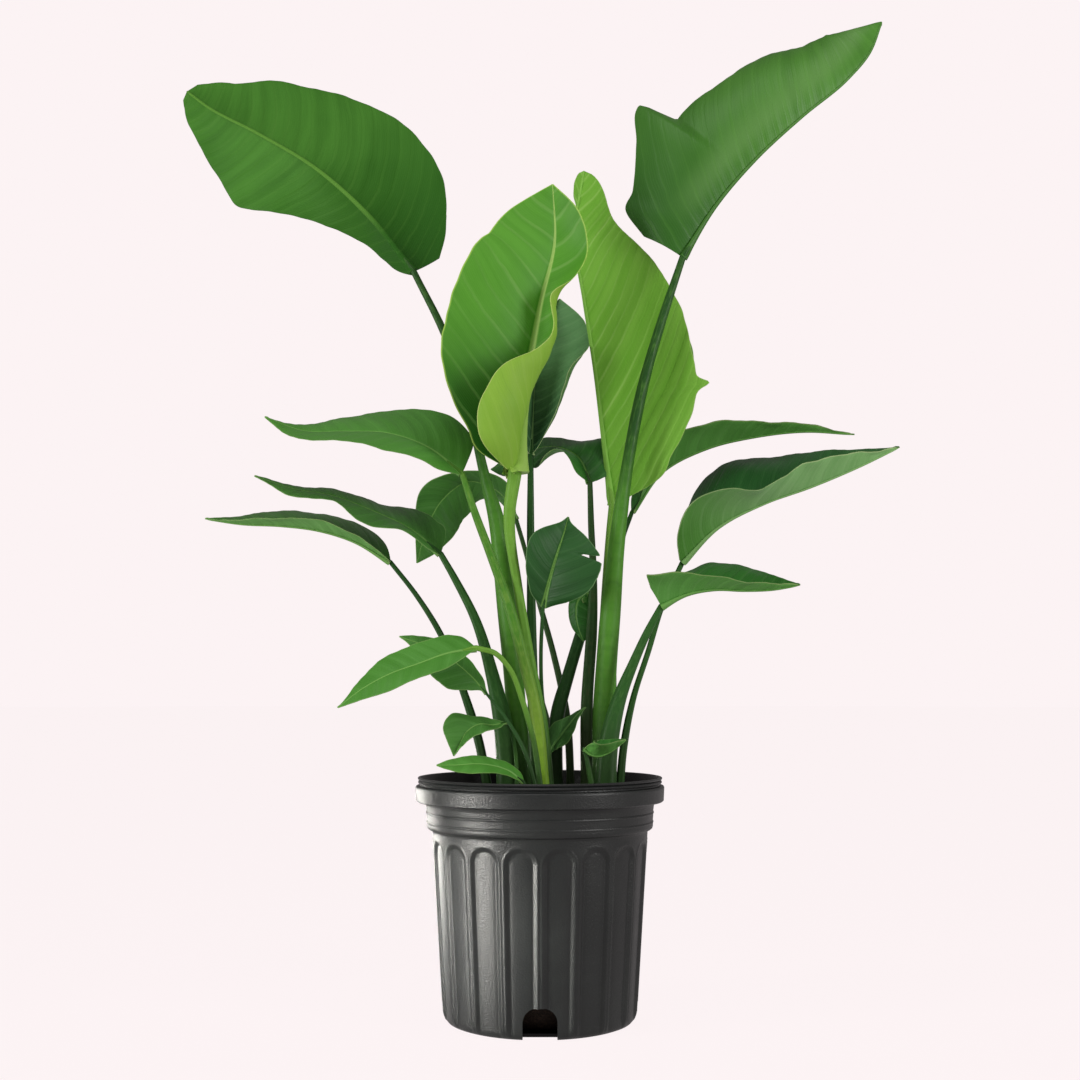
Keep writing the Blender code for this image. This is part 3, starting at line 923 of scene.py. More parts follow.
class Skin(Enum):
    """The finishes of the upper face and of the underside of a blade."""

    TALL = (
        LeafFinish("tall_upper", (0.018, 0.070, 0.014), (0.040, 0.125, 0.026),
                   (0.060, 0.160, 0.036), (0.120, 0.260, 0.060), (0.150, 0.250, 0.070)),
        LeafFinish("tall_under", (0.026, 0.118, 0.008), (0.066, 0.225, 0.026),
                   (0.085, 0.235, 0.034), (0.100, 0.260, 0.034), (0.060, 0.150, 0.036),
                   roughness=0.56, gloss=0.10, rib_from=0.12, vein_show=0.25, pitch=0.016,
                   foot=(0.020, 0.105, 0.007), foot_reach=0.60),
    )
    FRESH = (
        LeafFinish("fresh_upper", (0.052, 0.225, 0.009), (0.105, 0.340, 0.032),
                   (0.190, 0.400, 0.090), (0.360, 0.560, 0.140), (0.420, 0.640, 0.120),
                   margin_width=0.0022, roughness=0.46, gloss=0.20, vein_show=0.7, pitch=0.027,
                   foot=(0.010, 0.096, 0.002), foot_reach=0.60),
        LeafFinish("fresh_under", (0.185, 0.380, 0.032), (0.250, 0.450, 0.050),
                   (0.300, 0.500, 0.090), (0.290, 0.480, 0.100), (0.520, 0.640, 0.200),
                   roughness=0.55, gloss=0.18),
    )
    YOUNG = (
        LeafFinish("young_upper", (0.075, 0.240, 0.020), (0.125, 0.320, 0.045),
                   (0.180, 0.400, 0.080), (0.300, 0.500, 0.130), (0.240, 0.400, 0.090),
                   roughness=0.46, gloss=0.24),
        LeafFinish("young_under", (0.130, 0.370, 0.026), (0.220, 0.490, 0.064),
                   (0.320, 0.580, 0.130), (0.220, 0.480, 0.075), (0.300, 0.480, 0.120),
                   roughness=0.56, gloss=0.12, vein_show=0.60, pitch=0.019),
    )
    FOLDED = (
        LeafFinish("folded_upper", (0.030, 0.110, 0.020), (0.060, 0.180, 0.036),
                   (0.080, 0.210, 0.046), (0.140, 0.290, 0.070), (0.170, 0.280, 0.080)),
        # the underside carries a painted satin highlight beside the midrib
        LeafFinish("folded_under", (0.034, 0.140, 0.009), (0.070, 0.235, 0.024),
                   (0.100, 0.290, 0.038), (0.060, 0.190, 0.020), (0.100, 0.210, 0.050),
                   roughness=0.44, gloss=0.34, rib_show=0.4, vein_show=0.25, pitch=0.016,
                   foot=(0.022, 0.115, 0.006), foot_reach=0.50, painted_sheen=(0.135, 0.290, 0.080)),
    )
    MATURE = (
        LeafFinish("mature_upper", (0.014, 0.088, 0.010), (0.038, 0.180, 0.026),
                   (0.085, 0.230, 0.055), (0.120, 0.280, 0.055), (0.100, 0.230, 0.050),
                   roughness=0.42, gloss=0.20, vein_show=0.28),
        LeafFinish("mature_under", (0.070, 0.240, 0.036), (0.120, 0.340, 0.070),
                   (0.170, 0.390, 0.110), (0.150, 0.360, 0.080), (0.380, 0.520, 0.200),
                   roughness=0.55, gloss=0.14, vein_show=0.25, margin_width=0.0018),
    )
    SOFT = (
        LeafFinish("soft_upper", (0.032, 0.130, 0.016), (0.075, 0.240, 0.040),
                   (0.120, 0.300, 0.080), (0.160, 0.350, 0.075), (0.220, 0.400, 0.120),
                   roughness=0.44, gloss=0.20, vein_show=0.22),
        LeafFinish("soft_under", (0.090, 0.260, 0.050), (0.150, 0.370, 0.095),
                   (0.190, 0.410, 0.120), (0.170, 0.370, 0.090), (0.360, 0.480, 0.200),
                   roughness=0.55, gloss=0.14, vein_show=0.25),
    )
    DARK = (
        LeafFinish("dark_upper", (0.010, 0.048, 0.010), (0.028, 0.110, 0.026),
                   (0.060, 0.160, 0.050), (0.160, 0.340, 0.070), (0.150, 0.280, 0.110),
                   roughness=0.42, gloss=0.18, vein_show=0.22),
        LeafFinish("dark_under", (0.030, 0.105, 0.020), (0.062, 0.175, 0.042),
                   (0.090, 0.220, 0.065), (0.120, 0.270, 0.070), (0.160, 0.300, 0.090),
                   roughness=0.55, gloss=0.14, vein_show=0.25),
    )
    SILVER = (
        LeafFinish("silver_upper", (0.014, 0.072, 0.016), (0.032, 0.135, 0.032),
                   (0.070, 0.190, 0.060), (0.120, 0.260, 0.070), (0.110, 0.220, 0.060),
                   roughness=0.42, gloss=0.20, vein_show=0.28),
        LeafFinish("silver_under", (0.120, 0.300, 0.080), (0.230, 0.450, 0.165),
                   (0.260, 0.470, 0.190), (0.220, 0.430, 0.140), (0.480, 0.620, 0.300),
                   roughness=0.52, gloss=0.18, vein_show=0.22, margin_width=0.0018,
                   foot=(0.075, 0.240, 0.035), foot_reach=0.45),
    )
    BRIGHT = (
        LeafFinish("bright_upper", (0.054, 0.220, 0.020), (0.092, 0.300, 0.044),
                   (0.120, 0.330, 0.066), (0.190, 0.420, 0.090), (0.180, 0.350, 0.085),
                   roughness=0.46, gloss=0.22, vein_show=0.16, relief=0.14),
        LeafFinish("bright_under", (0.100, 0.270, 0.055), (0.160, 0.380, 0.095),
                   (0.190, 0.400, 0.120), (0.170, 0.380, 0.100), (0.340, 0.480, 0.200),
                   roughness=0.58, gloss=0.15, vein_show=0.20, relief=0.14),
    )
    SHADED = (
        LeafFinish("shaded_upper", (0.105, 0.260, 0.095), (0.165, 0.360, 0.145),
                   (0.190, 0.390, 0.160), (0.230, 0.420, 0.160), (0.400, 0.530, 0.250),
                   roughness=0.50, gloss=0.16, foot=(0.024, 0.078, 0.028), foot_reach=0.62),
        LeafFinish("shaded_under", (0.056, 0.150, 0.036), (0.095, 0.215, 0.060),
                   (0.140, 0.270, 0.100), (0.140, 0.270, 0.080), (0.300, 0.400, 0.180),
                   roughness=0.56, gloss=0.18),
    )

    @property
    def upper(self) -> LeafFinish:
        """Return the finish of the upper face."""
        return self.value[0]

    @property
    def under(self) -> LeafFinish:
        """Return the finish of the underside."""
        return self.value[1]


class StalkSkin(Enum):
    """The finishes of the stalks."""

    LIME = StalkFinish("stalk_lime", (0.270, 0.430, 0.050), (0.060, 0.210, 0.018),
                       (0.300, 0.450, 0.090), foot_reach=0.55, foot_tone_and_shade=(0.150, 0.300, 0.020))
    GREEN = StalkFinish("stalk_green", (0.078, 0.255, 0.024), (0.016, 0.074, 0.011),
                        (0.125, 0.310, 0.045), foot_from=0.42, foot_reach=0.66)
    PALE = StalkFinish("stalk_pale", (0.060, 0.210, 0.018), (0.150, 0.350, 0.038),
                       (0.230, 0.420, 0.090), foot_reach=0.7)
    DEEP = StalkFinish("stalk_deep", (0.030, 0.095, 0.018), (0.018, 0.080, 0.014),
                       (0.055, 0.135, 0.034))
    MOSS = StalkFinish("stalk_moss", (0.044, 0.150, 0.022), (0.024, 0.100, 0.016),
                       (0.080, 0.200, 0.045))
    BLUSH = StalkFinish("stalk_blush", (0.100, 0.070, 0.036), (0.030, 0.095, 0.022),
                        (0.110, 0.110, 0.050), foot_reach=0.30)


# ---- leaves ------------------------------------------------------


@dataclass(frozen=True)
class Tear:
    """A slit that the wind has torn into one half of a blade.

    Attributes:
        at: Where it stands along the rib, as a share of its length.
        depth: How deep it runs, as a share of the half's width.
        width: How wide it gapes at the margin, as a share of the rib's length.
    """

    at: float
    depth: float
    width: float


@dataclass(frozen=True)
class Half:
    """One half of a blade, from the midrib out to the margin.

    Attributes:
        reach: Straight distance from midrib to margin at each station, mm.
        lift: How far the half is swung towards the front, degrees, evenly
            spaced from base to tip.
        curl: How far the half turns over from midrib to margin, degrees,
            evenly spaced too; the blade's droop where none is given.
        tears: Slits in its margin.
        wave: How far its margin waves in and out of the blade, mm.
        base: How far it reaches where the blade begins, mm.
    """

    reach: tuple[float, ...]
    lift: tuple[float, ...]
    curl: tuple[float, ...] = ()
    tears: tuple[Tear, ...] = ()
    wave: float = 0.8
    base: float = 2.0


class Spread(NamedTuple):
    """One half of a blade laid out, with rows along it and columns across it.

    Attributes:
        side: How far each point lies to the side of the midrib, mm.
        forward: How far it lies to the front of the midrib, mm.
        away: How far it lies from the midrib along the skin, mm.
        edge: How far it lies from the margin along the skin, mm.
        start: Where its side vein leaves the midrib, mm from the base.
        push: How far pleats, waves and swells push it out of the blade, mm.
    """

    side: np.ndarray
    forward: np.ndarray
    away: np.ndarray
    edge: np.ndarray
    start: np.ndarray
    push: np.ndarray


@dataclass(frozen=True)
class Blade:
    """The blade of one leaf.

    Attributes:
        grade: How finely it is made.
        front: Which of its faces looks forward.
        skin: Its finishes.
        rib: Points of the midrib from base to tip, mm.
        left: The half to the left of the midrib, looking from the front.
        right: The half to the right of it.
        neck: Half width of the midrib where the stalk runs into it, mm.
        seed: What its small irregularities start from.
        stations: Where the reaches stand along the midrib.
        round_tip: The share of the length over which a blunt tip rounds off,
            none at 0.
        rib_width: Half width of the midrib past its neck, as a share of the neck.
        flare: How much wider the midrib is at its neck, as a share of the neck.
        flare_reach: The share of the length over which that width goes.
        rib_least: Half width of the midrib at the tip, mm.
        rib_columns: How many columns lie across half the midrib.
        groove: How deep the midrib is sunk into the upper face, as a share of its
            half width.
        ridge: How far it stands out of the underside, as a share of it too.
        sweep: How far a side vein runs on towards the tip for each mm outwards.
        bend: How much further it runs on for each mm by the margin.
        pleat: How far the pleats between the veins stand out, mm.
        pleat_pitch: How far the pleats stand apart, mm.
        pleat_drift: How far they drift out of step, radians.
        drift_wave: Over what length they do so, mm per radian.
        long_wave: The length of the long waves of the margin, mm per radian.
        short_wave: The length of the short ones, mm per radian.
        swell: How far a half bulges here and there, as a share of its width.
        swell_wave: How far apart it does so, mm per radian.
        droop: How far a half turns over where its curl isn't given, degrees.
        flat_tip: Lift and curl fade out over 1 / flat_tip of the length at the tip.
        tip_half: Half width of the tip, mm.
        thickness: Thickness of the blade between the veins, mm.
        edge: Its thickness at the margin, as a share of that.
        edge_reach: How far in from the margin it is thinner, m.
    """

    grade: Grade
    front: Side
    skin: Skin
    rib: Points
    left: Half
    right: Half
    neck: float
    seed: int
    stations: tuple[float, ...] = STATIONS
    round_tip: float = 0.0
    rib_width: float = 0.28
    flare: float = 0.58
    flare_reach: float = 0.09
    rib_least: float = 0.42
    rib_columns: int = 4
    groove: float = 0.30
    ridge: float = 1.05
    sweep: float = 0.42
    bend: float = 0.25
    pleat: float = 0.30
    pleat_pitch: float = 15.0
    pleat_drift: float = 1.7
    drift_wave: float = 31.0
    long_wave: float = 11.5
    short_wave: float = 5.6
    swell: float = 0.022
    swell_wave: float = 33.0
    droop: float = 20.0
    flat_tip: float = 60.0
    tip_half: float = 0.7
    thickness: float = 1.0
    edge: float = 0.45
    edge_reach: float = 0.004

    @property
    def facing(self) -> float:
        """Return 1 where the underside looks forward, and -1 where the upper face does."""
        return 1.0 if self.front is Side.UNDER else -1.0

    def rib_half(self, shares: np.ndarray) -> np.ndarray:
        """Return half the width of the midrib, mm, at shares of its length."""
        flare = self.flare * np.exp(-shares / self.flare_reach)
        return self.neck * (flare + self.rib_width * (1.0 - shares)) + self.rib_least

    def rows_of_half(self, half: Half, shares: np.ndarray) -> tuple[np.ndarray, ...]:
        """Work out the reach, lift and curl of a half at every row.

        Args:
            half: The half.
            shares: The share of the midrib at each row.

        Returns:
            Reach in mm, lift in radians and curl in radians.
        """
        at = (0.0, *self.stations, 1.0)
        ends = np.clip((1.0 - shares) * self.flat_tip, 0.0, 1.0)
        reach = along(shares, at, (half.base, *half.reach, self.tip_half))
        if self.round_tip:
            last = np.clip((shares - 1.0 + self.round_tip) / self.round_tip, 0.0, 1.0)
            full = along(shares, at, (half.base, *half.reach, 0.7 * half.reach[-1]))
            reach = np.maximum(full * np.sqrt(1.0 - last**2), self.tip_half)
        ragged = sum(far * np.sin(shares * often + turn * self.seed)
                     for turn, (far, often) in enumerate(RAGGED, start=1))
        reach = reach * (1.0 + ragged * ends)
        for tear in half.tears:
            reach = reach * (1.0 - tear.depth * np.exp(-((shares - tear.at) / tear.width) ** 2))
        lift = np.radians(evenly(shares, half.lift)) * ends
        curl = np.radians(evenly(shares, half.curl or (self.facing * self.droop,) * 3)) * ends
        return reach, lift, np.where(np.abs(curl) < LEAST_CURL, LEAST_CURL, curl)

    @staticmethod
    def swing(reach: np.ndarray, lift: np.ndarray, curl: np.ndarray,
              share: np.ndarray) -> tuple[np.ndarray, np.ndarray]:
        """Lay a half blade out as an arc whose chord is its reach.

        Args:
            reach: Length of the chord at each row.
            lift: Direction of the chord at each row.
            curl: How far the arc turns at each row, never 0.
            share: Share of the arc at each row and column.

        Returns:
            How far each point lies to the side and to the front of the midrib.
        """
        turn = curl[:, None]
        radius = reach[:, None] / (2.0 * np.sin(turn / 2.0))
        start = lift[:, None] - turn / 2.0
        angle = start + turn * share
        return radius * (np.sin(angle) - np.sin(start)), radius * (np.cos(start) - np.cos(angle))

    def lay_half(self, half: Half, sign: int, shares: np.ndarray, length: np.ndarray) -> Spread:
        """Lay one half out, from the middle of the midrib to the margin.

        Args:
            half: The half.
            sign: -1 for the left half and 1 for the right half.
            shares: The share of the midrib at each row.
            length: The distance along the midrib at each row, mm.

        Returns:
            The half, with its columns counted outwards.
        """
        spread, n = self.grade.value[1], self.rib_columns
        steps = np.arange(spread + 1)[None, :]
        length = length[:, None]
        rib_half = self.rib_half(shares)[:, None]
        reach, lift, curl = self.rows_of_half(half, shares)
        turned = np.abs(curl)
        arc = (reach * (turned / 2.0) / np.sin(turned / 2.0))[:, None]
        near = np.minimum(rib_half / arc, 0.5)
        beyond = np.clip((steps - n) / (spread - n), 0.0, 1.0)
        share = np.where(steps <= n, near * steps / n, near + (1.0 - near) * beyond)
        side, forward = self.swing(reach, lift, curl, share)
        away = share * arc
        start = length - self.sweep * away - self.bend * away * share
        # pleats that drift in and out of step, clear of the midrib and quieter at the margin
        wander = self.pleat_drift * np.sin(start / self.drift_wave + self.seed)
        folds = np.sin(start * math.tau / self.pleat_pitch + wander)
        off_rib = smoothstep(0.8, 3.0, away / rib_half)
        ends = np.clip(np.minimum(shares, 1.0 - shares) * 12.0, 0.0, 1.0)[:, None]
        push = self.pleat * folds * off_rib * (1.0 - 0.5 * share) * ends
        # waves along the margin, stronger long ones and weaker short ones
        ripple = (0.6 * np.sin(length / self.long_wave + self.seed + sign)
                  + 0.4 * np.sin(length / self.short_wave + 2.3 * self.seed - sign))
        push += half.wave * ripple * smoothstep(0.45, 1.0, share) * ends
        # broad swells in the middle of the half
        swell = np.sin(length / self.swell_wave + 1.3 * self.seed + sign) * np.sin(share * math.pi)
        push += self.swell * arc * swell * ends
        return Spread(side, forward, away, (1.0 - share) * arc, start, push)

    def surface(self) -> tuple[np.ndarray, np.ndarray, np.ndarray]:
        """Lay out the upper face of the blade.

        Returns:
            The points in mm, the vein numbers in metres and the place numbers.
            The vein numbers are the distance along the veins' starting line,
            from the midrib and from the margin.  The place numbers are the
            share of the length, the distance in midrib widths and the half.
        """
        rows, spread = self.grade.value
        count = rows * 4 + 1
        fine = spline(self.rib, count)
        shares = np.linspace(0.0, 1.0, rows)
        pick = np.round(shares * (count - 1)).astype(int)
        middle, length = fine[pick], run_length(fine)[pick]
        front, right = (way[pick] for way in carried_frames(fine))
        rib_half = self.rib_half(shares)[:, None]
        columns = 2 * spread + 1
        points = np.empty((rows, columns, 3))
        vein = np.empty((rows, columns, 3))
        place = np.empty((rows, columns, 3))
        push = np.empty((rows, columns))
        for sign, half in ((-1, self.left), (1, self.right)):
            laid = self.lay_half(half, sign, shares, length)
            cols = spread + sign * np.arange(spread + 1)
            points[:, cols] = (middle[:, None, :] + sign * laid.side[:, :, None] * right[:, None, :]
                               + laid.forward[:, :, None] * front[:, None, :])
            vein[:, cols] = np.stack([laid.start, laid.away, laid.edge], axis=-1) * MM
            place[:, cols, 0] = shares[:, None]
            place[:, cols, 1] = laid.away / rib_half
            place[:, cols, 2] = sign
            push[:, cols] = laid.push
        groove = np.clip(1.0 - place[:, :, 1] ** 2, 0.0, 1.0) * rib_half * self.groove
        push += self.facing * groove
        normal = unit(np.cross(np.gradient(points, axis=1), np.gradient(points, axis=0)))
        return points + push[:, :, None] * normal, vein, place

    def depth(self, vein: np.ndarray, place: np.ndarray) -> np.ndarray:
        """Work out how thick the blade is: thin at its margin, ridged along its midrib.

        Args:
            vein: The vein numbers of each vertex.
            place: The place numbers of each vertex.

        Returns:
            The thickness at each vertex, mm.
        """
        round_rib = np.sqrt(np.clip(1.0 - place[:, 1] ** 2, 0.0, 1.0))
        ridge = round_rib * self.rib_half(place[:, 0]) * self.ridge
        inward = smoothstep(0.0, self.edge_reach, vein[:, 2])
        return self.thickness * (self.edge + (1.0 - self.edge) * inward) + ridge

    def build(self, name: str) -> bpy.types.Object:
        """Model the blade: a shaped sheet, thickened towards its underside.

        Args:
            name: The name of the leaf.

        Returns:
            The finished blade.
        """
        rows, spread = self.grade.value
        item, column, row = Bench.sheet(name + "_leaf_blade", 2 * spread + 1, rows)
        points, vein, place = (part[row, column] for part in self.surface())
        Bench.place(item, points * MM)
        Bench.note(item, "vein", vein)
        Bench.note(item, "place", place)
        depth = self.depth(vein, place)
        most = float(depth.max())
        group = item.vertex_groups.new(name="depth")
        for index, weight in enumerate(depth / most):
            group.add([index], float(weight), "REPLACE")
        wall = item.modifiers.new("wall", "SOLIDIFY")
        wall.thickness = most * MM
        wall.offset = self.facing
        wall.vertex_group = group.name
        wall.use_rim = True
        wall.material_offset = 1
        wall.material_offset_rim = 0
        faces = (self.skin.upper, self.skin.under)
        for face in faces if self.front is Side.UPPER else reversed(faces):
            item.data.materials.append(face.make())
        Bench.apply(item, wall)
        item.vertex_groups.clear()
        Bench.smooth(item, 65.0)
        Bench.hand_over(item, "leaf", name + "_blade")
        return item


@dataclass(frozen=True)
class Stalk:
    """The stalk of one leaf, a tube with a shallow channel along it.

    Attributes:
        skin: Its finish.
        foot: Where it stands in the mix, and its radius there, mm.
        line: Points above the foot with a radius each, mm, up to where the
            blade's own midrib takes over.
        sunk: The height at which it starts, just under the top of the mix, mm.
        gutter: How deep the channel is, as a share of the radius.
        gutter_half: Half the width of the channel, radians.
        sides: How many sides the tube has.
        rows: How many rows it has up to the blade.
        run_on: The share of the midrib that it runs on along.
        taper: Its radius at the start and at the end of that run, as shares of the neck.
        sink: How far, in radii, that end sinks into the underside of the blade.
        uneven: How much its radius varies, as a share.
        uneven_wave: Over what length it does so, mm per radian.
    """

    skin: StalkSkin
    foot: tuple[float, float, float]
    line: Points
    sunk: float = 221.0
    gutter: float = 0.22
    gutter_half: float = 0.42
    sides: int = 24
    rows: int = 72
    run_on: float = 0.10
    taper: tuple[float, float] = (0.95, 0.30)
    sink: float = 0.8
    uneven: float = 0.02
    uneven_wave: float = 17.0

    def path(self, blade: Blade | None) -> tuple[np.ndarray, np.ndarray]:
        """Draw the stalk up to the blade and on along the blade's midrib.

        Args:
            blade: The blade that it carries, if it has one.

        Returns:
            The middle line and the radius at each of its points, mm.
        """
        x, y, radius = self.foot
        points = ((x, y, self.sunk, radius), *self.line)
        if blade:
            points = (*points, (*blade.rib[0], blade.neck))
        line = spline(points, self.rows)
        if blade:
            rib = spline(blade.rib, 121)
            more = rib[1:int((len(rib) - 1) * self.run_on):2]
            radii = np.linspace(*self.taper, len(more)) * blade.neck
            line = np.vstack([line, np.column_stack([more, radii])])
        return line[:, :3], line[:, 3]

    def build(self, name: str, blade: Blade | None) -> bpy.types.Object:
        """Model the stalk: a sheet rolled into a tube and closed.

        Args:
            name: The name of the leaf.
            blade: The blade that it carries, if it has one.

        Returns:
            The finished stalk.
        """
        middle, radius = self.path(blade)
        front, right = carried_frames(middle)
        if blade:
            # slip the end of the stalk under the blade
            row = np.arange(len(middle), dtype=float)
            shift = smoothstep(self.rows * 0.93, self.rows + 2, row)
            middle = middle + front * (shift * (blade.facing * self.sink) * radius)[:, None]
        channel = math.pi if blade and blade.front is Side.UNDER else 0.0
        item, column, row = Bench.sheet(name + "_leaf_stalk", self.sides + 1, len(middle))
        turn = column / self.sides * math.tau
        toward = np.arctan2(np.sin(turn - channel), np.cos(turn - channel))
        hollow = 1.0 - self.gutter * np.exp(-(toward / self.gutter_half) ** 2)
        step = run_length(middle)
        uneven = 1.0 + self.uneven * np.sin(step[row] / self.uneven_wave + turn * 2.0)
        out = radius[row] * hollow * uneven
        points = (middle[row] + out[:, None] * (np.cos(turn)[:, None] * front[row]
                                               + np.sin(turn)[:, None] * right[row]))
        Bench.place(item, points * MM)
        # for its skin: the side, the length in decimetres and the share of the length
        Bench.note(item, "stalk", np.column_stack(
            [np.cos(turn) * 0.5 + 0.5, step[row] * MM * 10.0, step[row] / step[-1]]))
        Bench.close(item)
        item.data.materials.append(self.skin.value.make())
        Bench.smooth(item, 60.0)
        Bench.hand_over(item, "petiole", name + "_petiole")
        return item


@dataclass(frozen=True)
class Leaf:
    """A leaf: a blade on its stalk.

    Attributes:
        name: The name of the leaf.
        blade: The blade, or nothing where only the stalk is left.
        stalk: The stalk.
    """

    name: str
    blade: Blade | None
    stalk: Stalk

    def build(self) -> None:
        """Model both pieces."""
        if self.blade:
            self.blade.build(self.name)
        self.stalk.build(self.name, self.blade)


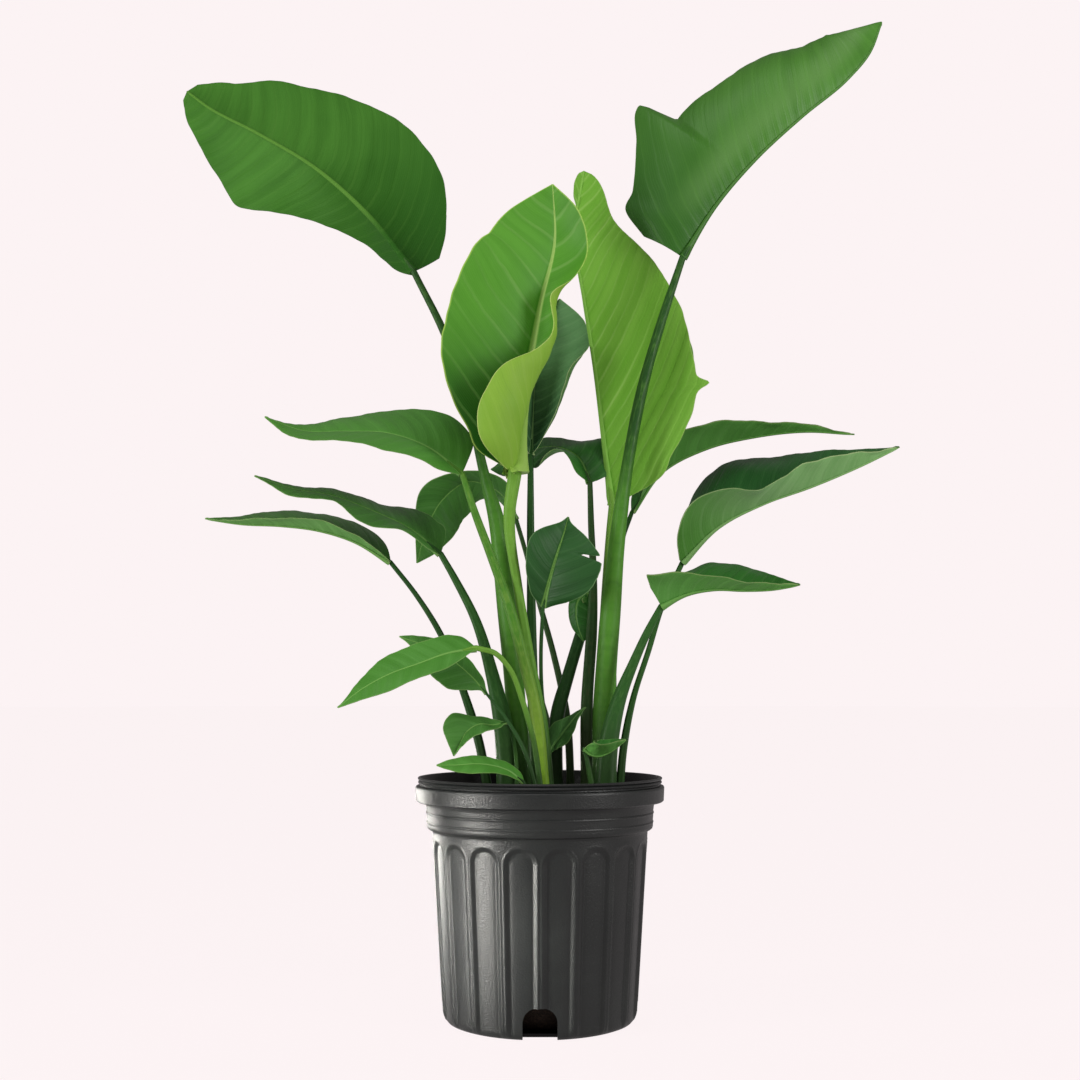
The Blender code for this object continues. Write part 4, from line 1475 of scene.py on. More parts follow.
LEAVES: tuple[Leaf, ...] = (
    Leaf("tall_left", Blade(
        Grade.LARGE, Side.UNDER, Skin.TALL, neck=3.5, seed=1, round_tip=0.07,
        stations=(0.04, 0.12, 0.25, 0.42, 0.58, 0.68, 0.8, 0.92),
        rib=((-137, 30, 781), (-187, 45, 847), (-247, 57, 905), (-317, 70, 952), (-377, 82, 988),
             (-404, 92, 1011)),
        left=Half(reach=(18, 34, 45, 56, 73, 84, 63, 34), lift=(-60, -66, -43, -26, -30, -28),
                  base=6),
        right=Half(reach=(49, 73, 105, 117, 105, 93, 75, 46), lift=(-18, -18, -18), base=34),
    ), Stalk(
        StalkSkin.GREEN, foot=(-18, 8, 10.3),
        line=((-24, 8, 304, 10.3), (-31, 8, 381, 10.3), (-38, 8, 450, 10.2), (-46, 9, 508, 8.2),
              (-58, 12, 553, 5.7), (-75, 17, 626, 4.6), (-102, 24, 709, 4.1)),
    )),
    Leaf("tall_right", Blade(
        Grade.LARGE, Side.UNDER, Skin.FOLDED, neck=3.6, seed=2,
        stations=(0.04, 0.12, 0.22, 0.285, 0.3, 0.335, 0.38, 0.45, 0.6, 0.78, 0.85, 0.92),
        rib=((150, -18, 782), (184, -22, 836), (228, -26, 887), (277, -29, 932), (325, -30, 972),
             (349, -29, 1001), (363, -28, 1036)),
        left=Half(reach=(76, 86, 112, 136, 138, 94, 95, 92, 85, 62, 54, 44),
                  lift=(-10, -10, -12, -14, -14), curl=(-50, -64, -64, -60, -40), wave=0.3,
                  base=48),
        right=Half(reach=(7, 44, 72, 80, 84, 86, 90, 98, 92, 60, 40, 20),
                   lift=(-96, -104, -112, -112, -104)),
    ), Stalk(
        StalkSkin.GREEN, foot=(64, 0, 12.4),
        line=((67, -2, 330, 11.3), (74, -6, 422, 10.1), (82, -10, 500, 7.8), (92, -12, 568, 6.3),
              (108, -14, 647, 5.8), (130, -17, 722, 4.6)),
    )),
    Leaf("centre_left", Blade(
        Grade.LARGE, Side.UPPER, Skin.FRESH, neck=7.0, seed=3, rib_width=0.8, sweep=0.6,
        pleat_pitch=26.0,
        rib=((-25, -58, 548), (-20, -49, 609), (-10, -41, 669), (1, -40, 729), (15, -44, 789),
             (13, -56, 848)),
        left=Half(reach=(34, 53, 82, 95, 90, 74, 48), lift=(18, 18, 18, 16, 14)),
        right=Half(reach=(40, 60, 61, 42, 31, 38, 24),
                   lift=(135, 133, 125, 111, 78, 58, 70, 35, 23, 25, 20),
                   curl=(110, 130, 150, 150, 140, 130, 130, 60, 30, 20, 10), base=12),
    ), Stalk(
        StalkSkin.PALE, foot=(10, -20, 5.7),
        line=((2, -20, 292, 6.2), (-11, -24, 365, 5.2), (-23, -33, 436, 4.9),
              (-31, -48, 506, 5.9)),
    )),
    Leaf("centre_right", Blade(
        Grade.LARGE, Side.UNDER, Skin.YOUNG, neck=4.0, seed=4, round_tip=0.08, sweep=1.25,
        pleat=0.8, pleat_pitch=19.0,
        rib=((77, 25, 525), (68, 25, 599), (59, 25, 674), (48, 25, 747), (38, 25, 822),
             (48, 25, 892)),
        left=Half(reach=(10, 44, 95, 124, 103, 50, 18), lift=(-139, -145, -157, -157, -150, -20)),
        right=Half(reach=(46, 72, 101, 105, 93, 59, 30), lift=(24, 17, 12, 11, 12, 13, 10),
                   tears=(Tear(at=0.31, depth=-0.12, width=0.015),)),
    ), Stalk(
        StalkSkin.PALE, foot=(64, 30, 8.7),
        line=((66, 30, 298, 8.4), (70, 29, 390, 7.6), (74, 28, 470, 6.2)),
    )),
    Leaf("back_centre", Blade(
        Grade.MEDIUM, Side.UPPER, Skin.SHADED, neck=3.1, seed=5,
        rib=((-10, 28, 580), (-8, 33, 617), (-6, 40, 654), (0, 48, 690), (11, 56, 725),
             (22, 62, 760)),
        left=Half(reach=(14, 22, 27, 29, 24, 16, 8), lift=(50, 66, 75, 72, 55, 42)),
        right=Half(reach=(9, 22, 41, 56, 58, 50, 27), lift=(34, 48, 52, 36, 20, 13),
                   curl=(60, 110, 110, 70, 20, 0)),
    ), Stalk(
        StalkSkin.DEEP, foot=(-5, 32, 6.2),
        line=((-7, 32, 315, 6.0), (-9, 31, 403, 4.9), (-10, 29, 495, 4.0)),
    )),
    Leaf("left_upper", Blade(
        Grade.MEDIUM, Side.UPPER, Skin.BRIGHT, neck=3.1, seed=6,
        rib=((-79, -46, 548), (-113, -52, 574), (-153, -56, 588), (-196, -56, 590),
             (-239, -53, 591), (-280, -50, 606)),
        left=Half(reach=(9, 25, 38, 47, 40, 29, 9), lift=(38, 60, 63, 70, 66, 42)),
        right=Half(reach=(34, 52, 60, 62, 56, 36, 9), lift=(-32, -42, -60, -66, -70, -80)),
    ), Stalk(
        StalkSkin.LIME, foot=(5, -38, 6.0),
        line=((-5, -38, 312, 6.0), (-16, -38, 358, 6.0), (-30, -38, 410, 5.3),
              (-50, -39, 466, 4.5), (-68, -43, 514, 3.7)),
    )),
    Leaf("left_mid_a", Blade(
        Grade.MEDIUM, Side.UPPER, Skin.SOFT, neck=3.1, seed=7,
        rib=((-103, -6, 470), (-135, -14, 496), (-173, -18, 514), (-213, -20, 529),
             (-254, -23, 536), (-294, -26, 549)),
        left=Half(reach=(7, 20, 31, 32, 15, 17, 6), lift=(53, 79, 59, 69, 57, 60)),
        right=Half(reach=(29, 42, 49, 49, 34, 16, 6), lift=(-42, -61, -77, -75, -73, -60)),
    ), Stalk(
        StalkSkin.MOSS, foot=(-33, -10, 11.3),
        line=((-37, -10, 290, 9.8), (-49, -9, 345, 7.0), (-67, -8, 403, 4.7), (-88, -7, 444, 3.8)),
    )),
    Leaf("left_mid_b", Blade(
        Grade.MEDIUM, Side.UPPER, Skin.SOFT, neck=2.4, seed=8,
        rib=((-158, 22, 464), (-194, 15, 485), (-233, 12, 497), (-273, 13, 502), (-314, 15, 504),
             (-354, 18, 510)),
        left=Half(reach=(4, 10, 17, 21, 18, 11, 4), lift=(116, 116, 116, 112, 110, 106), wave=1.2),
        right=Half(reach=(20, 42, 57, 62, 57, 36, 9), lift=(-56, -68, -70, -69, -65, -60)),
    ), Stalk(
        StalkSkin.DEEP, foot=(-53, 22, 5.2),
        line=((-64, 22, 277, 4.8), (-80, 22, 328, 4.1), (-105, 22, 389, 3.2),
              (-131, 22, 430, 2.7)),
    )),
    Leaf("left_back", Blade(
        Grade.MEDIUM, Side.UPPER, Skin.SOFT, neck=2.3, seed=9,
        rib=((-26, 72, 515), (-45, 79, 546), (-79, 84, 559), (-109, 88, 538), (-126, 90, 505),
             (-136, 90, 469)),
        left=Half(reach=(5, 11, 20, 33, 35, 31, 17), lift=(-53, -68, -48, -45, -39, -37)),
        right=Half(reach=(7, 17, 21, 21, 26, 14, 5), lift=(56, 55, 74, 33, 25, 24)),
    ), Stalk(
        StalkSkin.BLUSH, foot=(33, 54, 4.5),
        line=((28, 56, 305, 4.0), (15, 59, 366, 3.4), (-4, 64, 435, 2.8), (-17, 69, 484, 2.5)),
    )),
    Leaf("centre_small", Blade(
        Grade.MEDIUM, Side.UPPER, Skin.DARK, neck=1.9, seed=10, rib_width=1.1,
        rib=((3, -30, 412), (7, -36, 430), (12, -40, 449), (18, -41, 469), (24, -37, 487),
             (29, -30, 506)),
        left=Half(reach=(5, 14, 22, 30, 33, 22, 6), lift=(9, 17, 20, 19, 19, 23)),
        right=Half(reach=(8, 22, 38, 47, 48, 28, 6), lift=(10, 16, 16, 17, 25, 40),
                   tears=(Tear(at=0.63, depth=0.5, width=0.016),)),
    ), Stalk(
        StalkSkin.DEEP, foot=(12, -4, 2.5),
        line=((7, -9, 285, 2.3), (2, -15, 326, 2.1), (1, -22, 370, 2.0)),
    )),
    Leaf("centre_hidden", Blade(
        Grade.SMALL, Side.UPPER, Skin.MATURE, neck=4.0, seed=11,
        rib=((53, 32, 424), (50, 28, 432), (41, 25, 425), (38, 24, 408), (41, 24, 393),
             (46, 25, 380)),
        left=Half(reach=(4, 12, 18, 20, 19, 17, 9), lift=(20, 44, 52, 52, 52, 52)),
        right=Half(reach=(4, 7, 9, 10, 9, 7, 3), lift=(-30, -80, -90, -90, -90, -90)),
    ), Stalk(
        StalkSkin.DEEP, foot=(17, 30, 7.2),
        line=((19, 31, 307, 7.4), (31, 33, 349, 6.5), (44, 35, 392, 5.8)),
    )),
    Leaf("back_low", Blade(
        Grade.MEDIUM, Side.UPPER, Skin.MATURE, neck=2.8, seed=12,
        rib=((53, 18, 548), (42, 26, 575), (20, 45, 591), (-6, 63, 592), (-30, 78, 583),
             (-55, 92, 574)),
        left=Half(reach=(17, 26, 33, 36, 36, 32, 15), lift=(60, 62, 14, 8, 2, -4)),
        right=Half(reach=(38, 47, 43, 26, 21, 17, 8), lift=(-14, -14, -30, -12, -7, -14), base=8),
    ), Stalk(
        StalkSkin.BLUSH, foot=(48, 16, 6.2),
        line=((49, 16, 319, 6.2), (54, 17, 390, 5.8), (56, 18, 450, 4.1), (54, 19, 505, 3.3)),
    )),
    Leaf("right_upper", Blade(
        Grade.MEDIUM, Side.UPPER, Skin.MATURE, neck=2.3, seed=13,
        rib=((100, 60, 522), (133, 56, 566), (181, 54, 591), (234, 54, 604), (289, 55, 610),
             (343, 56, 607)),
        left=Half(reach=(13, 24, 42, 58, 46, 17, 5), lift=(-48, -69, -70, -65, -70, -55),
                  wave=2.2),
        right=Half(reach=(5, 22, 40, 38, 26, 13, 5), lift=(78, 124, 128, 122, 124, 128), wave=1.6),
    ), Stalk(
        StalkSkin.DEEP, foot=(75, 48, 5.2),
        line=((77, 50, 319, 4.6), (80, 55, 420, 3.6), (90, 59, 495, 2.7)),
    )),
    Leaf("right_mid", Blade(
        Grade.MEDIUM, Side.UPPER, Skin.SILVER, neck=2.8, seed=14,
        rib=((149, 10, 462), (186, 3, 499), (234, 2, 524), (284, 5, 542), (334, 8, 563),
             (381, 14, 586)),
        left=Half(reach=(20, 58, 92, 105, 88, 57, 20), lift=(-69, -59, -55, -58, -56, -56)),
        right=Half(reach=(20, 43, 53, 40, 38, 23, 8), lift=(150, 132, 110, 129, 133, 140),
                   wave=2.0, base=5),
    ), Stalk(
        StalkSkin.MOSS, foot=(82, 16, 4.5),
        line=((87, 16, 272, 4.1), (97, 14, 321, 3.3), (113, 12, 370, 3.0), (128, 10, 418, 2.9)),
    )),
    Leaf("right_low", Blade(
        Grade.MEDIUM, Side.UPPER, Skin.MATURE, neck=3.1, seed=15,
        rib=((123, -34, 414), (148, -40, 426), (177, -42, 431), (206, -42, 430), (235, -40, 431),
             (264, -36, 436)),
        left=Half(reach=(24, 40, 52, 60, 54, 40, 13), lift=(-55, -61, -62, -60, -57, -53),
                  wave=1.8, base=6),
        right=Half(reach=(44, 40, 29, 24, 20, 12, 5), lift=(144, 134, 119, 117, 119, 120),
                   wave=1.8, base=26),
    ), Stalk(
        StalkSkin.MOSS, foot=(65, -26, 12.0),
        line=((70, -26, 280, 9.6), (80, -26, 320, 7.2), (94, -29, 355, 5.2), (110, -32, 390, 3.9)),
    )),
    Leaf("low_front", Blade(
        Grade.MEDIUM, Side.UPPER, Skin.BRIGHT, neck=2.7, seed=16,
        rib=((-62, -84, 370), (-90, -94, 365), (-117, -101, 355), (-144, -108, 345),
             (-169, -114, 331), (-192, -118, 313)),
        left=Half(reach=(4, 10, 17, 19, 19, 14, 6), lift=(41, 34, 46, 40, 36, 38)),
        right=Half(reach=(16, 22, 23, 24, 21, 12, 4), lift=(-44, -39, -38, -40, -50, -52)),
    ), Stalk(
        StalkSkin.PALE, foot=(2, -54, 3.1),
        line=((-7, -56, 282, 2.8), (-18, -62, 321, 2.7), (-31, -71, 352, 2.6),
              (-45, -79, 366, 2.6)),
    )),
    Leaf("low_behind", Blade(
        Grade.SMALL, Side.UPPER, Skin.SOFT, neck=1.4, seed=17,
        rib=((-53, -58, 326), (-67, -56, 342), (-83, -54, 356), (-101, -52, 368), (-121, -50, 376),
             (-141, -48, 383)),
        left=Half(reach=(2, 12, 25, 27, 23, 12, 3), lift=(32, 26, 21, 17, 14, 12)),
        right=Half(reach=(4, 10, 15, 18, 18, 13, 6), lift=(-46, -53, -52, -50, -45, -39)),
    ), Stalk(
        StalkSkin.DEEP, foot=(-1, -66, 2.5), line=((-16, -66, 272, 2.1), (-33, -64, 301, 1.7)),
    )),
    Leaf("low_small", Blade(
        Grade.SMALL, Side.UPPER, Skin.SOFT, neck=1.5, seed=18,
        rib=((-33, -46, 298), (-47, -50, 295), (-60, -54, 296), (-72, -58, 289), (-79, -60, 277),
             (-85, -62, 265)),
        left=Half(reach=(2, 6, 9, 12, 11, 9, 3), lift=(55, 58, 40, 47, 71, 80)),
        right=Half(reach=(2, 6, 10, 12, 25, 19, 7), lift=(-47, -44, -48, -23, -16, -7)),
    ), Stalk(
        StalkSkin.GREEN, foot=(-23, -32, 2.3), line=((-25, -34, 270, 2.0), (-29, -41, 290, 1.8)),
    )),
    Leaf("rim", Blade(
        Grade.SMALL, Side.UPPER, Skin.BRIGHT, neck=1.8, seed=19,
        rib=((-16, -74, 240), (-29, -80, 251), (-45, -87, 257), (-62, -93, 259), (-80, -97, 258),
             (-99, -100, 258)),
        left=Half(reach=(2, 5, 8, 11, 12, 10, 5), lift=(50, 58, 62, 61, 65, 70)),
        right=Half(reach=(7, 9, 12, 14, 13, 9, 4), lift=(-53, -63, -70, -69, -58, -47)),
    ), Stalk(
        StalkSkin.GREEN, foot=(-10, -66, 2.2), line=((-13, -70, 233, 2.0),),
    )),
    Leaf("sprout", Blade(
        Grade.SMALL, Side.UNDER, Skin.DARK, neck=2.3, seed=20,
        rib=((9, 2, 261), (15, 0, 273), (22, -3, 283), (30, -6, 293), (38, -9, 303),
             (47, -12, 312)),
        left=Half(reach=(5, 13, 21, 21, 16, 9, 4), lift=(-44, -48, -53, -60, -63, -63)),
        right=Half(reach=(2, 5, 9, 12, 12, 8, 3), lift=(70, 64, 45, 55, 70, 73)),
    ), Stalk(
        StalkSkin.DEEP, foot=(11, 6, 3.1), line=((10, 4, 246, 2.8),),
    )),
    Leaf("cup", Blade(
        Grade.SMALL, Side.UPPER, Skin.MATURE, neck=2.0, seed=21,
        rib=((44, -50, 272), (50, -51, 267), (58, -52, 265), (67, -52, 268), (76, -52, 274),
             (85, -52, 281)),
        left=Half(reach=(8, 14, 19, 20, 18, 12, 5), lift=(-36, -38, -38, -36)),
        right=Half(reach=(14, 22, 26, 25, 20, 13, 5), lift=(126, 116, 112, 116)),
    ), Stalk(
        StalkSkin.GREEN, foot=(53, -46, 3.1), line=((48, -48, 254, 2.6),),
    )),
    Leaf("left_stub", None, Stalk(
        StalkSkin.BLUSH, foot=(11, 62, 4.6), line=((9, 62, 285, 4.5), (-2, 62, 330, 3.0)),
    )),
)


# ---- pot and potting mix -----------------------------------------


class Lathe:
    """Turned bodies: a profile drawn point by point and spun round the middle."""

    @staticmethod
    def turn(name: str, profile: list[tuple[float, float]], steps: int) -> bpy.types.Object:
        """Spin a closed profile into a body.

        Args:
            name: The name of the body.
            profile: Radius and height in mm of each point of the profile,
                starting and ending where it closes.
            steps: How many steps the turn has.

        Returns:
            The closed body.
        """
        Bench.clear()
        radius, height = profile[0]
        bpy.ops.mesh.primitive_plane_add(size=0.001, location=(0.0, -radius * MM, height * MM))
        bpy.ops.object.transform_apply(location=True, rotation=True, scale=True)
        item = bpy.context.active_object
        Bench.name(item, name)
        with Bench.edit():
            bpy.ops.mesh.merge(type="CENTER")
            for (r0, z0), (r1, z1) in zip(profile, profile[1:]):
                bpy.ops.mesh.extrude_vertices_move(
                    TRANSFORM_OT_translate={"value": (0.0, -(r1 - r0) * MM, (z1 - z0) * MM)})
            bpy.ops.mesh.select_all(action="SELECT")
            bpy.ops.mesh.spin(steps=steps, dupli=False, angle=math.tau, center=(0.0, 0.0, 0.0),
                              axis=(0.0, 0.0, 1.0))
            bpy.ops.mesh.select_all(action="SELECT")
            bpy.ops.mesh.remove_doubles(threshold=2e-5)
            bpy.ops.mesh.select_all(action="SELECT")
            bpy.ops.mesh.normals_make_consistent(inside=False)
        return item

    @staticmethod
    def fill(corners: Points, longest: float) -> list[tuple[float, float]]:
        """Add points to a profile so that no step is longer than a limit.

        Args:
            corners: Radius and height of each corner, mm.
            longest: The longest step, mm.

        Returns:
            The finer profile.
        """
        made = [corners[0]]
        for (r0, z0), (r1, z1) in zip(corners, corners[1:]):
            count = max(1, math.ceil(math.hypot(r1 - r0, z1 - z0) / longest))
            made += [(r0 + (r1 - r0) * k / count, z0 + (z1 - z0) * k / count)
                     for k in range(1, count + 1)]
        return made


@dataclass(frozen=True)
class Pot:
    """The nursery pot: a turned shell with flutes pressed in and feet notched out.

    Attributes:
        flutes: How many flutes go round it.
        floor_half: Half the width of the floor of a flute, degrees.
        edge_half: Half the width of a flute at its outline, degrees.
        depth: How deep a flute is, mm.
        spring: The height where the arch of a flute begins, mm.
        crown: The height of the top of the arch, mm.
        girth: The radius at which the widths of a flute are measured, mm.
        columns: How many steps of the turn make one flute.
        foot_top: The height up to which the wall is rounded into the foot, mm.
        wall_top: The height where the plain wall ends, mm.
        outside: The outer wall from the foot up, mm.
        inside: The inner wall from the rim down, mm.
        drains: How many notches are cut out of the foot.
        drain_width: The width of a notch, mm.
        drain_height: Its height, mm.
        drain_round: The radius of its upper corners, mm.
        drain_inner: The radius that it is cut from, mm.
        drain_outer: The radius that it is cut to, mm.
    """

    flutes: int = 18
    floor_half: float = 6.2
    edge_half: float = 8.7
    depth: float = 2.2
    spring: float = 163.8
    crown: float = 180.2
    girth: float = 105.0
    columns: int = 24
    foot_top: float = 12.0
    wall_top: float = 180.0
    outside: Points = (
        (84.0, 0.0), (90.5, 0.4), (93.2, 1.4), (95.8, 4.2), (97.2, 8.0), (98.1, 12.0),
        (101.3, 60.0), (108.3, 167.0), (109.1, 180.0), (109.6, 187.2), (110.4, 188.8),
        (113.0, 189.6), (114.4, 190.8), (115.0, 192.8), (115.2, 196.2), (115.6, 196.8),
        (115.5, 197.7), (115.0, 198.4), (115.6, 205.4), (116.1, 206.0), (116.0, 207.0),
        (115.5, 207.7), (116.2, 213.4), (117.2, 216.2), (124.8, 217.2), (126.2, 218.4),
        (126.9, 231.4), (126.2, 232.8), (122.7, 233.6), (122.2, 234.9), (124.0, 235.6),
        (124.6, 236.7), (123.9, 237.9), (122.8, 238.5), (124.3, 239.3), (124.9, 240.5),
        (124.3, 241.4), (123.2, 241.6),
    )
    inside: Points = (
        (121.8, 241.2), (121.0, 240.2), (118.8, 233.0), (113.6, 214.0), (111.4, 191.0),
        (106.4, 184.0), (104.3, 167.0), (93.4, 14.0), (89.5, 5.6), (82.0, 3.2),
    )
    drains: int = 4
    drain_width: float = 33.0
    drain_height: float = 31.0
    drain_round: float = 14.0
    drain_inner: float = 76.0
    drain_outer: float = 118.0

    def profile(self) -> list[tuple[float, float]]:
        """Draw the profile of the shell, finest where the arches stand.

        Returns:
            Radius and height in mm of each point, starting and ending at the foot.
        """
        foot = [p for p in self.outside if p[1] <= self.foot_top]
        wall = [p for p in self.outside if self.foot_top <= p[1] <= self.wall_top]
        high = [p for p in self.outside if p[1] >= self.wall_top]
        (r0, z0), (r1, z1) = wall[1:3]
        z = self.spring - 3.0
        arch = (r0 + (r1 - r0) * ((z - z0) / (z1 - z0)), z)
        # the longest steps, mm, on the plain wall, the arches, the rings and the inside
        plain, arches, rings, inner = 4.0, 0.9, 1.3, 9.0
        made = foot + Lathe.fill((*wall[:2], arch), plain)[1:]
        made += Lathe.fill((arch, *wall[2:]), arches)[1:] + Lathe.fill(tuple(high), rings)[1:]
        made += Lathe.fill((high[-1], *self.inside), inner)[1:]
        return made + [(0.0, self.inside[-1][1]), (0.0, 0.0), self.outside[0]]

    def outer_radius(self, height: np.ndarray | float) -> np.ndarray:
        """Return the radius of the outer wall at a height, mm."""
        return np.interp(height, [z for _, z in self.outside], [r for r, _ in self.outside])

    def press_flutes(self, item: bpy.types.Object) -> None:
        """Push the flutes into the outer wall.

        Args:
            item: The turned shell.
        """
        flat = np.empty(len(item.data.vertices) * 3)
        item.data.vertices.foreach_get("co", flat)
        at = flat.reshape(-1, 3) / MM
        radius = np.hypot(at[:, 0], at[:, 1])
        angle = np.degrees(np.arctan2(at[:, 0], -at[:, 1]))
        # crowd the columns together along the outline of each flute
        pitch = 360.0 / self.flutes
        cell = np.floor(angle / pitch)
        offset = angle - (cell + 0.5) * pitch
        share = np.abs(offset) / (pitch / 2.0)
        stand = np.interp(share, (0.0, 0.25, 0.85, 1.0), (0.0, 0.56, 0.92, 1.0))
        offset = np.sign(offset) * stand * pitch / 2.0
        angle = np.radians((cell + 0.5) * pitch + offset)
        # how far each point lies outside the outline, an arch on straight sides
        half = np.radians(self.edge_half) * self.girth
        slope = np.radians(self.edge_half - self.floor_half) * self.girth
        x = np.radians(offset) * self.girth
        rise = np.clip(at[:, 2] - self.spring, 0.0, None) / (self.crown - self.spring)
        away = (np.hypot(x / half, rise) - 1.0) * half
        # press the floor in, with a bead round the outline and a crease round the floor
        press = -self.depth * (1.0 - smoothstep(-slope, 0.0, away))
        bead = 0.40 * np.exp(-((away - 0.5) / 0.8) ** 2)
        crease = 0.35 * np.exp(-((away + slope) / 1.1) ** 2)
        # flutes set in above the edge of the foot, and the collar stays round
        low, full, collar = 1.5, 11.0, 187.0
        on_wall = ((radius > self.outer_radius(at[:, 2]) - 1.0)
                   & (at[:, 2] > low) & (at[:, 2] < collar))
        fade = smoothstep(low, full, at[:, 2])
        radius = radius + np.where(on_wall, (press + (bead - crease)) * fade, 0.0)
        at[:, 0] = radius * np.sin(angle)
        at[:, 1] = -radius * np.cos(angle)
        Bench.place(item, at * MM)

    def block(self, turn: float) -> bpy.types.Object:
        """Model the block that cuts one notch, with its upper corners rounded.

        Args:
            turn: Where it stands round the pot, radians from the front.

        Returns:
            The block.
        """
        Bench.clear()
        middle = (self.drain_inner + self.drain_outer) / 2.0
        bpy.ops.mesh.primitive_cube_add(
            size=1.0, location=(middle * math.sin(turn) * MM, -middle * math.cos(turn) * MM, 0.0),
            rotation=(0.0, 0.0, turn))
        block = bpy.context.active_object
        block.scale = (self.drain_width * MM, (self.drain_outer - self.drain_inner) * MM,
                       2.0 * self.drain_height * MM)
        bpy.ops.object.transform_apply(location=True, rotation=True, scale=True)
        way = Vector((math.sin(turn), -math.cos(turn), 0.0))
        with Bench.edit("EDGE"):
            bpy.ops.mesh.select_all(action="DESELECT")
            mesh = bmesh.from_edit_mesh(block.data)
            for edge in mesh.edges:
                run = (edge.verts[1].co - edge.verts[0].co).normalized()
                top = min(v.co.z for v in edge.verts) > 0.0
                edge.select_set(top and abs(run.dot(way)) > 0.9)
            mesh.select_flush_mode()
            bmesh.update_edit_mesh(block.data)
            bpy.ops.mesh.bevel(offset=self.drain_round * MM, segments=12, affect="EDGES")
        return block

    def paint_inside_shade(self, item: bpy.types.Object) -> None:
        """Give the faces that lie behind the outer wall the darker, duller finish of the inside,
        painted shade on the same plastic.

        Args:
            item: The pot, with both finishes.
        """
        # the underside and the top edge keep the finish of the outside
        low, high = 0.2, 240.9
        for face in item.data.polygons:
            x, y, z = (c / MM for c in face.center)
            behind = self.outer_radius(z) - math.hypot(x, y)
            if behind > self.depth + 0.9 and low < z < high:
                face.material_index = 1

    def build(self) -> bpy.types.Object:
        """Model the pot.

        Returns:
            The finished pot.
        """
        item = Lathe.turn("nursery_pot", self.profile(), self.flutes * self.columns)
        self.press_flutes(item)
        cutter = Bench.join([self.block(k * math.tau / self.drains) for k in range(self.drains)])
        cut = item.modifiers.new("feet", "BOOLEAN")
        cut.operation = "DIFFERENCE"
        cut.solver = "EXACT"
        cut.object = cutter
        item.data.materials.append(POT_BLACK.make())
        item.data.materials.append(POT_SHADED_INSIDE.make())
        Bench.apply(item, cut)
        self.paint_inside_shade(item)
        bpy.data.objects.remove(cutter, do_unlink=True)
        Bench.smooth(item, 38.0)
        Bench.hand_over(item, "pot", "pot")
        return item


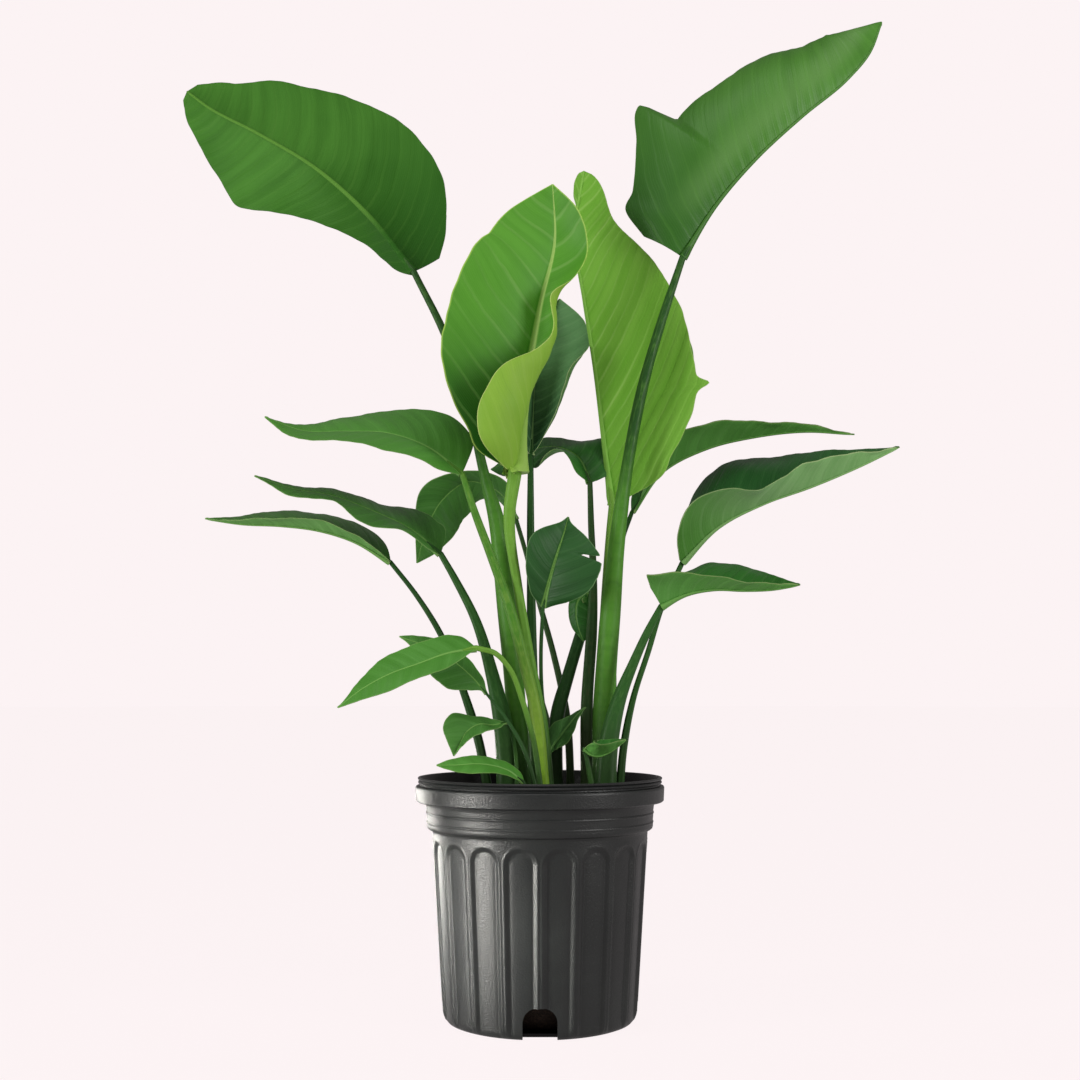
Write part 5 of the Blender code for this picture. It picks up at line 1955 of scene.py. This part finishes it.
@dataclass(frozen=True)
class PottingMix:
    """The mix that fills the pot, and the bark chips that lie in it.

    Attributes:
        clear: Places in mm, with a radius, that the chips keep clear of.
        top: The height of its surface, mm.
        bottom: The height of its underside, mm.
        brim: The radius of its surface, mm.
        corners: The profile of its side from the bottom up, mm.
        lumpy: The height of each kind of lump, mm, and how close they stand, per mm.
        settle: How far the lumpy surface has settled, mm.
        chips: How many chips lie in it.
        chip_size: The smallest and the largest size of a chip, mm.
        chip_reach: How far from the middle the chips lie, mm.
        chip_shape: How long, wide and thick a chip is, as shares of its size.
        seed: What the places of the chips start from.
    """

    clear: list[tuple[float, float, float]]
    top: float = 224.0
    bottom: float = 3.5
    brim: float = 113.0
    corners: Points = (
        (60.0, 3.5), (64.0, 5.5), (94.6, 44.0), (103.5, 167.0), (105.4, 183.0),
        (110.4, 191.5), (112.6, 213.0), (114.4, 220.6), (113.0, 223.4),
    )
    lumpy: Points = ((2.2, 0.045), (1.3, 0.13), (0.7, 0.33))
    settle: float = 0.6
    chips: int = 150
    chip_size: tuple[float, float] = (2.4, 6.2)
    chip_reach: float = 106.0
    chip_shape: tuple[float, float, float] = (1.0, 0.62, 0.30)
    seed: int = 7

    def lumps(self, x: float, y: float) -> float:
        """Return how far the surface stands above its level at a place, mm."""
        spot = Vector((x, y, 0.0))
        return sum(high * noise.noise(spot * close) for high, close in self.lumpy)

    def build_bed(self) -> bpy.types.Object:
        """Model the bed: a turned body with a lumpy top.

        Returns:
            The finished bed.
        """
        rings = [(radius, self.top) for radius in np.arange(self.brim - 2.0, 2.0, -2.0).tolist()]
        profile = [(0.0, self.bottom), *Lathe.fill(self.corners, 14.0), *rings, (0.0, self.top)]
        item = Lathe.turn("potting_mix_bed", profile, 180)
        for vertex in item.data.vertices:
            x, y, z = (c / MM for c in vertex.co)
            if z > self.top - 2.0:
                ease = min(1.0, (self.brim + 0.5 - math.hypot(x, y)) / 6.0)
                vertex.co.z += (self.lumps(x, y) * ease - self.settle) * MM
        Bench.close(item, 1e-7)
        item.data.materials.append(MixFinish().make())
        Bench.smooth(item, 80.0)
        Bench.hand_over(item, "potting_mix", "potting_mix")
        return item

    def pattern_chip(self) -> bpy.types.Object:
        """Model one chip of bark: a flattened, broken lump.

        Returns:
            The chip, about 2 units long.
        """
        Bench.clear()
        bpy.ops.mesh.primitive_ico_sphere_add(subdivisions=2, radius=1.0)
        chip = bpy.context.active_object
        Bench.name(chip, "bark_chips")
        with Bench.edit():
            bpy.ops.transform.resize(value=self.chip_shape)
        flat = 0.26
        for vertex in chip.data.vertices:
            vertex.co *= 1.0 + 0.35 * noise.noise(vertex.co * 1.9)
            vertex.co.z = max(-flat, min(flat, vertex.co.z))
        return chip

    def scatter(self) -> bpy.types.Object:
        """Lay copies of the chip on the bed, clear of the stalks.

        Returns:
            All the chips, as one piece.
        """
        chance = random.Random(self.seed)
        pattern = self.pattern_chip()
        made = []
        while len(made) < self.chips:
            far = self.chip_reach * math.sqrt(chance.random())
            turn = chance.uniform(0.0, math.tau)
            x, y = far * math.cos(turn), far * math.sin(turn)
            size = chance.uniform(*self.chip_size)
            if any(math.hypot(x - cx, y - cy) < r + size + 1.5 for cx, cy, r in self.clear):
                continue
            chip = pattern.copy()
            chip.data = pattern.data.copy()
            bpy.context.scene.collection.objects.link(chip)
            level = self.top + self.lumps(x, y) - self.settle + 0.12 * size
            chip.location = (x * MM, y * MM, level * MM)
            chip.rotation_euler = (chance.uniform(-0.5, 0.5), chance.uniform(-0.5, 0.5),
                                   chance.uniform(0.0, math.tau))
            chip.scale = (size * MM, size * MM * chance.uniform(0.7, 1.1), size * MM)
            made.append(chip)
        item = Bench.join(made)
        bpy.data.objects.remove(pattern, do_unlink=True)
        Bench.name(item, "bark_chips")
        item.data.materials.append(BarkFinish().make())
        Bench.smooth(item, 40.0)
        Bench.hand_over(item, "potting_mix", "potting_mix")
        return item

    def build(self) -> None:
        """Model the bed and its chips."""
        self.build_bed()
        self.scatter()


# ---- studio ------------------------------------------------------


@dataclass(frozen=True)
class SoftBox:
    """A soft light that looks at the plant.

    Attributes:
        name: Its name.
        azimuth: Where it stands round the plant, degrees, 0 in front and
            positive to the right.
        height: The height of its middle, m.
        distance: How far out it stands, m.
        width: Its width, m.
        tall: Its height, m.
        power: Its power, W.
        aim: The height that it looks at, m.
        fan: How widely its light fans out, degrees.
        color: The colour of its light.
    """

    name: str
    azimuth: float
    height: float
    distance: float
    width: float
    tall: float
    power: float
    aim: float = 0.5
    fan: float = 180.0
    color: Color = DAYLIGHT

    def build(self) -> None:
        """Set the light up."""
        turn = math.radians(self.azimuth)
        lamp = bpy.data.lights.new(self.name, "AREA")
        lamp.shape = "RECTANGLE"
        lamp.size = self.width
        lamp.size_y = self.tall
        lamp.energy = self.power
        lamp.spread = math.radians(self.fan)
        lamp.color = self.color
        item = bpy.data.objects.new(self.name, lamp)
        bpy.context.scene.collection.objects.link(item)
        item.visible_camera = False
        item.location = (
            self.distance * math.sin(turn), -self.distance * math.cos(turn), self.height)
        look = Vector((0.0, 0.0, self.aim)) - item.location
        item.rotation_euler = look.to_track_quat("-Z", "Y").to_euler()


@dataclass(frozen=True)
class Studio:
    """The pale floor, the soft light and the camera.

    Attributes:
        ambient: How strongly the air round the plant lights it.
        eye: Where the camera stands, m.
        tilt: How far it is tilted, degrees, 90 for a level view.
        lens: Its focal length, mm, on a sensor 36 mm wide.
        floor_far: The radius of the floor, m.
        floor_near: The radius of its middle part, m.
        boxes: The soft boxes: two tall ones at the sides, one overhead, and
            two low narrow ones that skim the left side of the pot.
    """

    ambient: float = 0.30
    eye: tuple[float, float, float] = (0.0, -1.486, 0.329)
    tilt: float = 96.0
    lens: float = 47.77
    floor_far: float = 30.0
    floor_near: float = 4.0
    boxes: tuple[SoftBox, ...] = (
        SoftBox("key_left", -60.0, 0.42, 1.7, 0.60, 0.8, 15.0, aim=0.60),
        SoftBox("edge_right", 54.0, 0.80, 1.7, 0.45, 0.9, 13.0, aim=0.70),
        SoftBox("top_front", -14.0, 2.1, 1.3, 1.2, 1.0, 9.0),
        SoftBox("low_left", -68.0, 0.13, 0.95, 0.60, 0.18, 0.90, aim=0.10, fan=17.0,
                color=LAMPLIGHT),
        SoftBox("back_left", -142.0, 0.13, 0.95, 0.50, 0.18, 0.36, aim=0.10, fan=17.0,
                color=LAMPLIGHT),
    )

    def lay_floor(self) -> None:
        """Model the floor: a wide disc, with a smaller one inset in it round the plant."""
        Bench.clear()
        bpy.ops.mesh.primitive_circle_add(vertices=96, radius=self.floor_far, fill_type="NGON")
        item = bpy.context.active_object
        Bench.name(item, "studio_floor")
        with Bench.edit():
            bpy.ops.mesh.inset(thickness=self.floor_far - self.floor_near)
        item.data.materials.append(FloorFinish().make())

    def light(self) -> None:
        """Light the plant from soft boxes and a dim even surround."""
        world = bpy.data.worlds.new("studio_air")
        world.use_nodes = True
        bpy.context.scene.world = world
        tree = world.node_tree
        tree.nodes.clear()
        path = tree.nodes.new("ShaderNodeLightPath")
        either = tree.nodes.new("ShaderNodeMixShader")
        output = tree.nodes.new("ShaderNodeOutputWorld")
        tree.links.new(path.outputs["Is Camera Ray"], either.inputs[0])
        for place, strength in ((1, self.ambient), (2, 1.0)):
            air = tree.nodes.new("ShaderNodeBackground")
            air.inputs["Color"].default_value = (*BACKDROP, 1.0)
            air.inputs["Strength"].default_value = strength
            tree.links.new(air.outputs[0], either.inputs[place])
        tree.links.new(either.outputs[0], output.inputs["Surface"])
        for box in self.boxes:
            box.build()

    def set_camera(self) -> None:
        """Set the camera up in front of the plant."""
        lens = bpy.data.cameras.new("front_camera")
        lens.lens = self.lens
        lens.sensor_width = 36.0
        lens.clip_end = 100.0
        item = bpy.data.objects.new("front_camera", lens)
        bpy.context.scene.collection.objects.link(item)
        item.location = self.eye
        item.rotation_euler = (math.radians(self.tilt), 0.0, 0.0)
        bpy.context.scene.camera = item
        bpy.context.scene.view_settings.view_transform = "Standard"
        bpy.context.scene.view_settings.look = "None"

    def build(self) -> None:
        """Set the whole studio up."""
        self.lay_floor()
        self.light()
        self.set_camera()


def main() -> None:
    """Build the plant from the pot up."""
    logging.basicConfig(level=logging.INFO, format="%(name)s: %(message)s")
    Studio().build()
    Pot().build()
    PottingMix(clear=[leaf.stalk.foot for leaf in LEAVES]).build()
    for leaf in LEAVES:
        leaf.build()
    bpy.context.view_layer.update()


if __name__ == "__main__":
    main()
